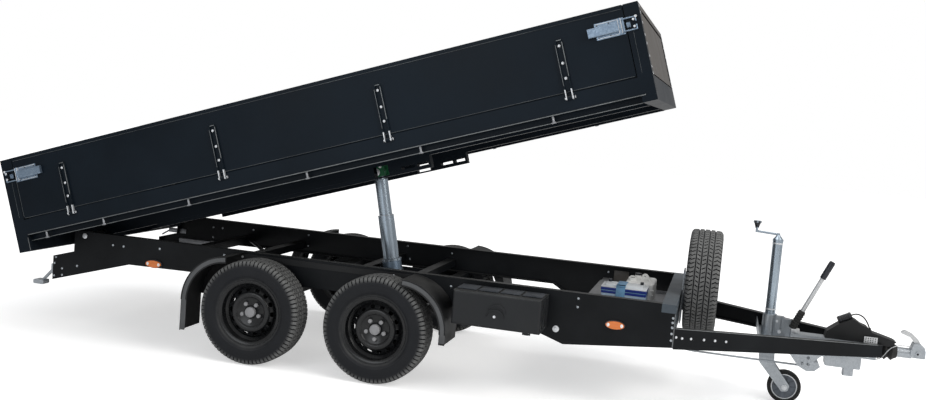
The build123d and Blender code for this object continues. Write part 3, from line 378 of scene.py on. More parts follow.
def makeSpangle():
    # crystals of hot-dip zinc, with dull weathered patches
    group, given, out = newGroup(
        "spangle",
        [("Light", "NodeSocketColor", (0.6, 0.62, 0.64, 1)),
         ("Dark", "NodeSocketColor", (0.4, 0.42, 0.45, 1)),
         ("Scale", "NodeSocketFloat", 90.0), ("Gloss Low", "NodeSocketFloat", 0.3),
         ("Gloss High", "NodeSocketFloat", 0.55)],
        [("Color", "NodeSocketColor"), ("Roughness", "NodeSocketFloat")])
    place = addNode(group, "ShaderNodeTexCoord")
    cells = addNode(group, "ShaderNodeTexVoronoi")
    group.links.new(place.outputs["Object"], cells.inputs["Vector"])
    group.links.new(given.outputs["Scale"], cells.inputs["Scale"])
    split = addNode(group, "ShaderNodeSeparateColor")
    group.links.new(cells.outputs["Color"], split.inputs[0])
    weather = noiseIn(group, 14.0, 5.0, 0.65)
    both = reckon(group, "ADD", reckon(group, "MULTIPLY", split.outputs[0], 0.45),
                  reckon(group, "MULTIPLY", weather.outputs["Fac"], 0.75))
    share = ramped(group, both, 0.3, 0.85)
    group.links.new(blended(group, share, given.outputs["Light"], given.outputs["Dark"]), out.inputs["Color"])
    group.links.new(ramped(group, both, 0.3, 0.85, given.outputs["Gloss Low"], given.outputs["Gloss High"]),
                    out.inputs["Roughness"])
    return group


dustFilm = makeDustFilm()
shadeDrift = makeShadeDrift()
fineGrain = makeFineGrain()
spangle = makeSpangle()


# materials

def rgb(red, green, blue):
    return (red, green, blue, 1.0)


def newMaterial(name):
    material = bpy.data.materials.new(name)
    material.use_nodes = True
    tree = material.node_tree
    return material, tree, tree.nodes["Principled BSDF"]


def placed(tree, group, **values):
    node = tree.nodes.new("ShaderNodeGroup")
    node.node_tree = group
    for label, value in values.items():
        feed(tree, node.inputs[label.replace("_", " ")], value)
    return node


def coated(name, colour, gloss=(0.3, 0.45), drift=0.2, driftScale=3.0, dust=(0.25, 0.04), patch=5.0,
           dustColour=rgb(0.17, 0.17, 0.165), grain=(350.0, 0.12), specular=0.3, metallic=0.0, coat=0.0):
    # paint, moulded plastic or rubber: drifted shade, dust on top, fine grain
    material, tree, skin = newMaterial(name)
    drifted = placed(tree, shadeDrift, Color=colour, Depth=drift, Scale=driftScale, Gloss_Low=gloss[0],
                     Gloss_High=gloss[1])
    dusted = placed(tree, dustFilm, Clean=drifted.outputs["Color"], Dust=dustColour, On_Top=dust[0],
                    All_Over=dust[1], Patch_Scale=patch)
    tree.links.new(dusted.outputs["Color"], skin.inputs["Base Color"])
    duller = reckon(tree, "MULTIPLY", dusted.outputs["Mask"], 0.5)
    rougher = reckon(tree, "ADD", drifted.outputs["Roughness"], duller)
    tree.links.new(rougher, skin.inputs["Roughness"])
    peel = placed(tree, fineGrain, Scale=grain[0], Strength=grain[1])
    tree.links.new(peel.outputs["Normal"], skin.inputs["Normal"])
    skin.inputs["Specular IOR Level"].default_value = specular
    skin.inputs["Metallic"].default_value = metallic
    skin.inputs["Coat Weight"].default_value = coat
    return material


def zinced(name, light, dark, scale=90.0, gloss=(0.3, 0.55), metallic=0.85, dust=(0.12, 0.02)):
    # zinc coats, from bright plating to dull hot dip
    material, tree, skin = newMaterial(name)
    crystals = placed(tree, spangle, Light=light, Dark=dark, Scale=scale, Gloss_Low=gloss[0],
                      Gloss_High=gloss[1])
    dusted = placed(tree, dustFilm, Clean=crystals.outputs["Color"], Dust=rgb(0.3, 0.28, 0.25),
                    On_Top=dust[0], All_Over=dust[1], Patch_Scale=9.0)
    tree.links.new(dusted.outputs["Color"], skin.inputs["Base Color"])
    tree.links.new(crystals.outputs["Roughness"], skin.inputs["Roughness"])
    peel = placed(tree, fineGrain, Scale=160.0, Strength=0.15)
    tree.links.new(peel.outputs["Normal"], skin.inputs["Normal"])
    skin.inputs["Metallic"].default_value = metallic
    return material


coats = {
    "bedPaint": dict(colour=rgb(0.0046, 0.0088, 0.0142), gloss=(0.34, 0.46), drift=0.25, driftScale=1.3,
                     dust=(0.3, 0.004), specular=0.1),
    "headPaint": dict(colour=rgb(0.056, 0.051, 0.047), gloss=(0.35, 0.5), drift=0.15, driftScale=2.0,
                      dust=(0.3, 0.12), dustColour=rgb(0.16, 0.14, 0.12), specular=0.3),
    "framePaint": dict(colour=rgb(0.0048, 0.0058, 0.0072), gloss=(0.3, 0.45), drift=0.3, driftScale=2.5,
                       dust=(0.22, 0.012), specular=0.14),
    "floorSteel": dict(colour=rgb(0.045, 0.047, 0.05), gloss=(0.4, 0.6), drift=0.3, dust=(0.35, 0.08)),
    "guardPlastic": dict(colour=rgb(0.006, 0.0065, 0.0075), gloss=(0.42, 0.6), drift=0.15, driftScale=5.0,
                         dust=(0.22, 0.02), grain=(900.0, 0.25), specular=0.3),
    # lighter copy of the guard plastic: a painted highlight on the guards' rolled lips
    "lipSheenPlastic": dict(colour=rgb(0.055, 0.058, 0.062), gloss=(0.3, 0.45), drift=0.25, driftScale=7.0,
                       dust=(0.25, 0.05), grain=(900.0, 0.2), specular=0.6),
    "boxPlastic": dict(colour=rgb(0.011, 0.0125, 0.0145), gloss=(0.42, 0.58), drift=0.12, driftScale=4.0,
                       dust=(0.35, 0.025), grain=(1100.0, 0.25), specular=0.28),
    "padPlastic": dict(colour=rgb(0.02, 0.028, 0.042), gloss=(0.3, 0.45), drift=0.3, driftScale=5.0,
                       dust=(0.25, 0.03), grain=(1100.0, 0.2), specular=0.4),
    "rimPaint": dict(colour=rgb(0.004, 0.0045, 0.0055), gloss=(0.2, 0.32), drift=0.2, driftScale=9.0,
                     dust=(0.06, 0.015), patch=14.0, specular=0.45),
    "capPaint": dict(colour=rgb(0.05, 0.065, 0.08), gloss=(0.35, 0.5), drift=0.2, driftScale=3.0,
                     dust=(0.2, 0.04), specular=0.3),
    "plainRubber": dict(colour=rgb(0.011, 0.011, 0.011), gloss=(0.55, 0.75), drift=0.2, driftScale=12.0,
                        dust=(0.2, 0.04), grain=(700.0, 0.2), specular=0.3),
    "gripPlastic": dict(colour=rgb(0.006, 0.008, 0.014), gloss=(0.25, 0.4), drift=0.15, driftScale=20.0,
                        dust=(0.12, 0.02), specular=0.5),
    "capPlastic": dict(colour=rgb(0.27, 0.27, 0.28), gloss=(0.35, 0.5), drift=0.1, driftScale=30.0,
                       dust=(0.1, 0.06), specular=0.45),
    "greenPaint": dict(colour=rgb(0.012, 0.13, 0.05), gloss=(0.3, 0.5), drift=0.25, driftScale=10.0,
                       dust=(0.2, 0.05)),
    "tankPlastic": dict(colour=rgb(0.84, 0.84, 0.82), gloss=(0.35, 0.5), drift=0.06, driftScale=9.0,
                        dust=(0.12, 0.04), dustColour=rgb(0.4, 0.36, 0.3), specular=0.4),
    "batteryWhite": dict(colour=rgb(0.62, 0.65, 0.68), gloss=(0.35, 0.5), drift=0.05, driftScale=9.0,
                         dust=(0.1, 0.03)),
    "batteryCase": dict(colour=rgb(0.32, 0.42, 0.53), gloss=(0.3, 0.45), drift=0.06, driftScale=9.0,
                        dust=(0.1, 0.03)),
    "batteryBlue": dict(colour=rgb(0.012, 0.03, 0.2), gloss=(0.3, 0.45), drift=0.1, driftScale=9.0,
                        dust=(0.1, 0.03)),
    "strapBlue": dict(colour=rgb(0.12, 0.26, 0.42), gloss=(0.4, 0.6), drift=0.15, driftScale=60.0,
                      dust=(0.1, 0.03)),
    "hoistSteel": dict(colour=rgb(0.4, 0.47, 0.54), gloss=(0.2, 0.28), drift=0.06, driftScale=3.0,
                       dust=(0.05, 0.02), grain=(60.0, 0.05), metallic=0.85),
    "seamShade": dict(colour=rgb(0.0015, 0.0015, 0.002), gloss=(0.8, 0.95), drift=0.1, dust=(0.02, 0.0),
                      specular=0.02),
    # light strips laid along edges as painted highlights, a strong one and a faint one
    "highlightEdge": dict(colour=rgb(0.15, 0.16, 0.165), gloss=(0.35, 0.5), drift=0.35, driftScale=16.0,
                     dust=(0.1, 0.1), specular=0.5, metallic=0.4),
    "faintHighlightEdge": dict(colour=rgb(0.085, 0.095, 0.1), gloss=(0.35, 0.5), drift=0.6, driftScale=5.0,
                      dust=(0.1, 0.05), specular=0.4, metallic=0.3),
    "rollerPlastic": dict(colour=rgb(0.13, 0.15, 0.18), gloss=(0.35, 0.5), drift=0.15, driftScale=30.0,
                          dust=(0.2, 0.08), specular=0.45),
    "cordSheath": dict(colour=rgb(0.008, 0.008, 0.008), gloss=(0.4, 0.55), drift=0.1, driftScale=60.0,
                       dust=(0.2, 0.05)),
    "wireSheath": dict(colour=rgb(0.42, 0.43, 0.44), gloss=(0.3, 0.45), drift=0.15, driftScale=80.0,
                       dust=(0.1, 0.05), specular=0.5, metallic=0.4),
}
zincs = {
    "zinc": dict(light=rgb(0.46, 0.49, 0.52), dark=rgb(0.36, 0.39, 0.42), scale=260.0, gloss=(0.32, 0.46)),
    "brightZinc": dict(light=rgb(0.76, 0.78, 0.8), dark=rgb(0.64, 0.66, 0.69), scale=320.0,
                       gloss=(0.3, 0.42), metallic=0.6),
    "paleZinc": dict(light=rgb(0.6, 0.61, 0.62), dark=rgb(0.5, 0.51, 0.52), scale=240.0, gloss=(0.36, 0.5),
                     metallic=0.55),
    "dullZinc": dict(light=rgb(0.36, 0.37, 0.39), dark=rgb(0.28, 0.29, 0.31), scale=240.0, gloss=(0.4, 0.58),
                     dust=(0.3, 0.06)),
    "blueZinc": dict(light=rgb(0.27, 0.35, 0.44), dark=rgb(0.17, 0.23, 0.31), scale=150.0, gloss=(0.26, 0.4),
                     metallic=0.8),
}
finish = {name: coated(name, **look) for name, look in coats.items()}
finish.update({name: zinced(name, **look) for name, look in zincs.items()})


def makeTyreRubber():
    # the dusty band on tread and shoulder follows the tyre's own dust attribute
    material, tree, skin = newMaterial("tyreRubber")
    drifted = placed(tree, shadeDrift, Color=rgb(0.008, 0.009, 0.0115), Depth=0.2, Scale=7.0, Gloss_Low=0.5,
                     Gloss_High=0.68)
    band = addNode(tree, "ShaderNodeAttribute", attribute_name="dust")
    scuffs = noiseIn(tree, 26.0, 6.0, 0.7)
    scuffed = ramped(tree, scuffs.outputs["Fac"], 0.3, 0.7, 0.45, 1.0)
    share = reckon(tree, "MULTIPLY", band.outputs["Fac"], scuffed)
    worn = blended(tree, share, drifted.outputs["Color"], rgb(0.175, 0.177, 0.175))
    dusted = placed(tree, dustFilm, Clean=worn, Dust=rgb(0.17, 0.17, 0.165), On_Top=0.2, All_Over=0.02,
                    Patch_Scale=8.0)
    tree.links.new(dusted.outputs["Color"], skin.inputs["Base Color"])
    rougher = ramped(tree, share, 0.0, 1.0, drifted.outputs["Roughness"], 0.92)
    tree.links.new(rougher, skin.inputs["Roughness"])
    peel = placed(tree, fineGrain, Scale=600.0, Strength=0.2)
    tree.links.new(peel.outputs["Normal"], skin.inputs["Normal"])
    skin.inputs["Specular IOR Level"].default_value = 0.22
    return material


def makeAmberLens():
    # fluted amber lens, with painted highlights that make it paler along its flutes
    material, tree, skin = newMaterial("amberLens")
    place = addNode(tree, "ShaderNodeTexCoord")
    flutes = addNode(tree, "ShaderNodeTexWave", wave_type="BANDS", bands_direction="X")
    tree.links.new(place.outputs["Object"], flutes.inputs["Vector"])
    flutes.inputs["Scale"].default_value = 60.0
    fluteHighlights = ramped(tree, flutes.outputs["Fac"], 0.2, 0.9)
    lit = blended(tree, fluteHighlights, rgb(0.55, 0.1, 0.008), rgb(0.86, 0.24, 0.02))
    tree.links.new(lit, skin.inputs["Base Color"])
    bump = addNode(tree, "ShaderNodeBump")
    bump.inputs["Strength"].default_value = 0.5
    bump.inputs["Distance"].default_value = 0.001
    tree.links.new(flutes.outputs["Fac"], bump.inputs["Height"])
    tree.links.new(bump.outputs["Normal"], skin.inputs["Normal"])
    skin.inputs["Roughness"].default_value = 0.16
    skin.inputs["Coat Weight"].default_value = 0.6
    return material


finish["tyreRubber"] = makeTyreRubber()
finish["amberLens"] = makeAmberLens()


def paint(piece, *names):
    piece.data.materials.clear()
    for name in names:
        piece.data.materials.append(finish[name])


# the finish of each node of the frame, by how its name starts
nodeFinish = {
    "bedPaint": ("bed_frame", "side_board_", "tailgate"),
    "headPaint": ("headboard",),
    "floorSteel": ("bed_floor",),
    "framePaint": ("axle_", "rail_", "crossmembers", "rear_crossmember", "drawbar_beam_", "hoist_cradle"),
    "capPaint": ("front_crossmember",),
    "dullZinc": ("equipment_tray",),
    "guardPlastic": ("mudguards_", "nose_cover"),
    "boxPlastic": ("toolbox_",),
    "rimPaint": ("wheel_", "spare_rim"),
    "tyreRubber": ("spare_tyre",),
    "blueZinc": ("latches_",),
    "zinc": ("rear_foot_", "jockey_fork", "drawbar_bridge", "coupling_head", "overrun_housing", "brake_rod",
             "spare_carrier"),
    "paleZinc": ("coupling_handle",),
    "hoistSteel": ("hoist_barrel", "hoist_stage_", "jockey_tube", "jockey_leg"),
    "greenPaint": ("hoist_bracket",),
    "plainRubber": ("bellows", "plug", "handbrake_lever", "jockey_wheel"),
    "batteryCase": ("battery",),
    "tankPlastic": ("oil_tank",),
    "amberLens": ("side_markers",),
    "cordSheath": ("plug_cable",),
    "wireSheath": ("breakaway_cable",),
}
for finishName, starts in nodeFinish.items():
    for nodeName, node in nodes.items():
        if nodeName.startswith(starts):
            for socket in node.material_slots:
                socket.material = finish[finishName]
print("materials ready,", len(finish))


# cords, as drawn in the photo

cords = {
    "plugLead": {"node": "plug_cable", "radius": 4.0, "finish": "cordSheath", "length": 0.143,
                 "route": [(3048.2, -25, 604.1), (3066, -25, 613.4), (3092, -26, 613), (3116, -28, 601),
                           (3135, -30, 579), (3148, -30, 555), (3153.3, -30, 541)]},
    "breakawayWire": {"node": "breakaway_cable", "radius": 2.5, "finish": "wireSheath", "length": 0.228,
                      "route": [(3206, -46, 366), (3222, -51, 371), (3241, -58, 390), (3256, -62, 418),
                                (3278, -61, 446), (3312, -55, 464), (3350, -45, 468), (3391, -30, 462)]},
}
for name, cord in cords.items():
    curve = bpy.data.curves.new(name, "CURVE")
    curve.dimensions = "3D"
    curve.bevel_depth = cord["radius"] / 1000
    curve.bevel_resolution = 6
    curve.use_fill_caps = True
    spline = curve.splines.new("NURBS")
    spline.points.add(len(cord["route"]) - 1)
    for point, place in zip(spline.points, cord["route"]):
        point.co = (*spot(*place), 1)
    spline.order_u = 3
    spline.use_endpoint_u = True
    spline.resolution_u = 12
    piece = bpy.data.objects.new(name, curve)
    bpy.context.collection.objects.link(piece)
    curve.materials.append(finish[cord["finish"]])
    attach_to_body(piece, "chassis")
    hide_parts(cord["node"])
print("cords laid")


# tyres

tyre = {
    "pitches": 74, "sipeArc": 8.0, "sipeDeep": 7.0, "grooveDeep": 7.0, "crown": 314.3, "crownDrop": 3.0,
    "slant": 0.03, "half": 76, "ease": 2, "ribEase": 3, "shoulderOut": 97, "sipeFoot": 283,
    "sipeTop": 3,
    "wall": [(70, 178), (73, 186), (75.5, 197), (77, 203), (84, 206.5), (89, 212), (92, 218), (93, 221),
             (95, 223), (96.4, 233), (97.2, 246), (97.3, 256), (96.3, 262), (97.2, 265), (96.4, 270),
             (95.6, 277), (95.6, 281)],
    "shoulder": [(95.2, 286), (93.5, 294), (90, 301), (85, 306.6), (80, 310)],
    "ribs": [(-76, -52), (-44, -21), (-13, 13), (21, 44), (52, 76)],
    "lining": [(66, 300), (74, 292), (82, 270), (82, 240), (72, 205), (62, 190), (60, 177)],
    "dust": {"from": 276, "over": 22, "foot": 212, "footOver": 10, "footShare": 0.25, "grooveFloor": 308.5,
             "grooveShare": 0.1},
}


def treadRadius(y):
    return tyre["crown"] - tyre["crownDrop"] * (abs(y) / tyre["half"]) ** 2


def radiusOf(place):
    # how far a place in the tyre's mesh is from its axle, in millimetres
    return Vector((place.x, place.z)).length * 1000


def tyreProfile():
    # (across, radius, lead angle) from the outer bead over the tread and back through the lining
    rows = [(-y, r, 0.0) for y, r in tyre["wall"]] + [(-y, r, 0.0) for y, r in tyre["shoulder"]]
    for index, (low, high) in enumerate(tyre["ribs"]):
        lean = tyre["slant"] * (1 if index % 2 else -1)
        outermost = (low == -tyre["half"], high == tyre["half"])
        first = low + (tyre["ease"] if outermost[0] else tyre["ribEase"])
        last = high - (tyre["ease"] if outermost[1] else tyre["ribEase"])
        if not outermost[0]:
            rows.append((low, treadRadius(low) - tyre["grooveDeep"], -lean / 2))
        rows += [(y, treadRadius(y), -lean / 2) for y in (low, first)]
        rows += [(y, treadRadius(y), lean / 2) for y in (last, high)]
        if not outermost[1]:
            rows.append((high, treadRadius(high) - tyre["grooveDeep"], lean / 2))
    rows += [(y, r, 0.0) for y, r in tyre["shoulder"][::-1]] + [(y, r, 0.0) for y, r in tyre["wall"][::-1]]
    rows += [(y, r, 0.0) for y, r in tyre["lining"][::-1]] + [(-y, r, 0.0) for y, r in tyre["lining"]]
    return rows


def makeTyre():
    rows = tyreProfile()
    points = [Vector((r * sin(lead), y, r * cos(lead))) / 1000 for y, r, lead in rows]
    piece = drawnLine(points, "tyrePattern")
    closeLine(piece)
    steps = tyre["pitches"] * 2
    sweep(steps, (0, 1, 0))

    # every second ring is turned towards its neighbour, which leaves narrow rows for the sipes
    leads = {(round(y, 2), round(r, 2)): lead for y, r, lead in rows}
    pitch = 2 * pi / steps
    closeUp = Matrix.Rotation(tyre["sipeArc"] / tyre["crown"] - pitch, 3, "Y")
    rings = {}
    for vertex in piece.data.vertices:
        y, r = round(vertex.co.y * 1000, 2), round(radiusOf(vertex.co), 2)
        lead = min(leads.items(), key=lambda item: abs(item[0][0] - y) + abs(item[0][1] - r))[1]
        rings[vertex.index] = round((atan2(vertex.co.x, vertex.co.z) - lead) / pitch) % steps
        if rings[vertex.index] % 2:
            vertex.co = closeUp @ vertex.co

    half, out, ease = tyre["half"], tyre["shoulderOut"], tyre["ribEase"]
    ribTops = [(low + ease if low > -half else -out, high - ease if high < half else out)
               for low, high in tyre["ribs"]]

    def inSipe(face):
        # on a rib's top or on the shoulder, between a ring and the one turned towards it
        turns = sorted({rings[index] for index in face.vertices})
        if len(turns) != 2 or turns[1] - turns[0] != 1 or turns[0] % 2:
            return False
        y, r = face.center.y * 1000, radiusOf(face.center)
        outside = r > treadRadius(min(abs(y), half)) - tyre["sipeTop"] or abs(y) > half
        return r > tyre["sipeFoot"] and outside and any(low < y < high for low, high in ribTops)

    surface = len(piece.data.vertices)
    selectFaces(piece, inSipe)
    sink = {"value": -tyre["sipeDeep"] / 1000}
    bpy.ops.mesh.extrude_region_shrink_fatten(TRANSFORM_OT_shrink_fatten=sink)
    done()
    smooth(piece, 32)

    # road dust lies on the shoulder and the tread, thinning down the wall, and not in the sipes
    film = tyre["dust"]
    dust = piece.data.attributes.new("dust", "FLOAT", "POINT")
    for vertex in piece.data.vertices:
        r = radiusOf(vertex.co)
        high = min(max((r - film["from"]) / film["over"], 0.0), 1.0) ** 1.3
        low = min(max((film["foot"] - r) / film["footOver"], 0.0), 1.0) * film["footShare"]
        if r < film["grooveFloor"] and abs(vertex.co.y) < 0.0755:
            high *= film["grooveShare"]
        dust.data[vertex.index].value = max(high, low) if vertex.index < surface else 0.0
    paint(piece, "tyreRubber")
    return piece


# wheel discs, bolts and drums

disc = {
    "barrel": [(195, 80), (190, 80), (176, 72), (174, 30), (158, 20), (158, -32), (172, -44), (174, -72),
               (188, -80), (195, -80), (196, -78), (195, -75), (185.5, -74), (175.9, -70), (175.9, 70),
               (185.5, 74), (195, 75), (196, 78)],
    "dish": [(40, 46), (84, 46), (87, 48.5), (92, 54), (97, 56), (108, 56), (114, 55), (118, 52), (121, 47),
             (126, 42), (138, 35.5), (143, 31), (148, 22), (152, 17.5), (158.5, 16), (158.5, 8), (146, 10),
             (134, 29), (114, 47), (98, 49), (88, 40), (40, 40)],
    "vents": 14, "ventRadius": 133, "ventLong": 30, "ventWide": 17, "ventDeep": 80, "ventAt": 33,
    "bolts": 5, "boltCircle": 56, "boltTurn": 18,
    "bolt": [(12.5, 44), (12.5, 54), (11, 58), (7, 60), (0.01, 60.5)],
    "cap": [(31, 40), (31.5, 60), (30, 64.5), (26, 67), (14, 68), (0.01, 68)],
    "drum": [(0.01, 40), (108, 40), (110, 38), (110, -38), (153, -38), (154, -39), (154, -42), (153, -43),
             (110, -43), (110, -90), (108, -92), (104, -92), (104, -60), (20.2, -60), (20.2, 20), (0.01, 20)],
}
outward = Matrix.Rotation(radians(-90), 4, "X")


def makeDisc():
    barrel = spun("rimPattern", disc["barrel"], 96, closed=True)
    dish = spun("dish", disc["dish"], 112, closed=True)
    half = (disc["ventLong"] - disc["ventWide"]) / 2000
    seat = (Matrix.Translation((disc["ventRadius"] / 1000, -half, disc["ventAt"] / 1000))
            @ Matrix.Rotation(pi / 2, 4, "Z"))
    vents = []
    for index in range(disc["vents"]):
        # a cylinder with one half pulled out, which makes a slot with round ends
        deselect()
        bpy.ops.mesh.primitive_cylinder_add(vertices=16, radius=disc["ventWide"] / 2000,
                                            depth=disc["ventDeep"] / 1000, location=(0, 0, 0))
        slot = bpy.context.object
        selectVertices(slot, lambda vertex: vertex.co.x > 0.0001)
        bpy.ops.transform.translate(value=(half * 2, 0, 0))
        done()
        settle(slot, Matrix.Rotation(2 * pi * index / disc["vents"], 4, "Z") @ seat)
        vents.append(slot)
    cutAway(dish, vents)
    whole = joined("rimPattern", [barrel, dish])
    settle(whole, outward)
    ease = whole.modifiers.new("eased", "BEVEL")
    ease.width = 0.0008
    ease.segments = 2
    ease.limit_method = "ANGLE"
    ease.angle_limit = radians(50)
    finishModifiers(whole)
    smooth(whole, 40)
    paint(whole, "rimPaint")
    return whole


def makeCaps():
    caps = [spun("capPattern", disc["cap"], 40)]
    circle = disc["boltCircle"] / 1000
    for index in range(disc["bolts"]):
        bolt = spun("bolt", disc["bolt"], 18)
        angle = radians(index * 360 / disc["bolts"] + disc["boltTurn"])
        settle(bolt, Matrix.Translation((circle * cos(angle), circle * sin(angle), 0)))
        caps.append(bolt)
    whole = joined("capPattern", caps)
    settle(whole, outward)
    smooth(whole, 30)
    paint(whole, "capPlastic")
    return whole


def makeDrum():
    drum = spun("drumPattern", disc["drum"], 48)
    settle(drum, outward)
    smooth(drum, 30)
    paint(drum, "framePaint")
    return drum


tyrePattern = makeTyre()
rimPattern = makeDisc()
capPattern = makeCaps()
drumPattern = makeDrum()


wheelPlace = {"out": 800, "high": 314.5}

for end, x in axles.items():
    for sideName, side in sides.items():
        body = "wheel_" + end + "_" + sideName
        about = Matrix.Identity(4) if side > 0 else Matrix.Rotation(pi, 4, "Z")
        place = Matrix.Translation(spot(x, side * wheelPlace["out"], wheelPlace["high"])) @ about
        rubber = copyOf(tyrePattern, body + "_roadTyre", place)
        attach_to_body(rubber, body)
        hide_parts(body + "_tyre")
        steel = copyOf(rimPattern, body + "_disc", place)
        shoe = copyOf(drumPattern, body + "_drum", place)
        caps = copyOf(capPattern, body + "_caps", place)
        for piece in (steel, shoe, caps):
            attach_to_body(piece, body)
        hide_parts(body + "_rim")

spare = {"x": 2182, "z": 700}
place = Matrix.Translation(spot(spare["x"], 0, spare["z"])) @ Matrix.Rotation(radians(-90), 4, "Z")
rubber = copyOf(tyrePattern, "spareRoadTyre", place)
steel = copyOf(rimPattern, "spareDisc", place)
for piece, node in ((rubber, "spare_tyre"), (steel, "spare_rim")):
    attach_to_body(piece, "chassis")
    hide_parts(node)
for pattern in (tyrePattern, rimPattern, capPattern, drumPattern):
    bpy.data.objects.remove(pattern)
print("wheels made")


# details of the bed: s runs from its rear end, high from its underside

bed = {"long": 4016.0, "strapRear": 432.0, "strapFront": 448.0, "straps": 4, "hingeOut": 936.0,
       "hingeHigh": 172.0}
strapPitch = (bed["long"] - bed["strapRear"] - bed["strapFront"]) / (bed["straps"] - 1)
strapPlaces = [bed["strapRear"] + strapPitch * index for index in range(bed["straps"])]


def bedBlock(along, across, high, edge=0.6):
    # a block in bed measures, each given as a pair
    across, high = sorted(across), sorted(high)
    piece = block((drawn["bedRear"] + along[0], across[0], drawn["bedLow"] + high[0]),
                  (drawn["bedRear"] + along[1], across[1], drawn["bedLow"] + high[1]), edge)
    settle(piece, bedTurn)
    return piece


def bedBar(start, end, radius, sides=20, edge=0.8):
    return bar(onBed(*start), onBed(*end), radius, sides, edge)


def sided(pair, side):
    return sorted((side * pair[0], side * pair[1]))


def eitherEnd(s, mirrored):
    # a place along the bed, or the same place counted from its other end
    return bed["long"] - s if mirrored else s


def endSpan(first, last, mirrored):
    return sorted((eitherEnd(first, mirrored), eitherEnd(last, mirrored)))


def attach(name, pieces, finishName, body, angle=35):
    # joins the parts of a piece, finishes them and lets them move with a body
    piece = joined(name, pieces)
    if finishName:
        paint(piece, finishName)
    smooth(piece, angle)
    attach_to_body(piece, body)
    return piece


def makeBolt():
    # hexagon head on a washer, seated at the origin and facing up
    seat = bar((0, 0, -0.0006), (0, 0, 0.0018), 12, 24, 0.4)
    head = bar((0, 0, 0.0012), (0, 0, 0.006), 8, 6, 0.7)
    crown = bar((0, 0, 0.0056), (0, 0, 0.0069), 5.76, 16, 0.4)
    return joined("boltPattern", [seat, head, crown])


def makeDome():
    # round domed head, seated at the origin and facing up
    profile = [(10, -0.5), (10, 1.4), (8.5, 1.9), (7.31, 3.96), (4.25, 5.225), (0.01, 5.5)]
    return spun("domePattern", profile, 20)


boltPattern = makeBolt()
domePattern = makeDome()


def heads(name, pattern, places, finishName, body, size=1.0):
    # copies of one head at places, each with the way it faces
    copies = []
    for place, way in places:
        copies.append(copyOf(pattern, name, Matrix.Translation(place) @ facing(way) @ Matrix.Scale(size, 4)))
    return attach(name, copies, finishName, body)


bedUp = bedTurn.to_3x3() @ Vector((0, 0, 1))
bedAhead = bedTurn.to_3x3() @ Vector((1, 0, 0))

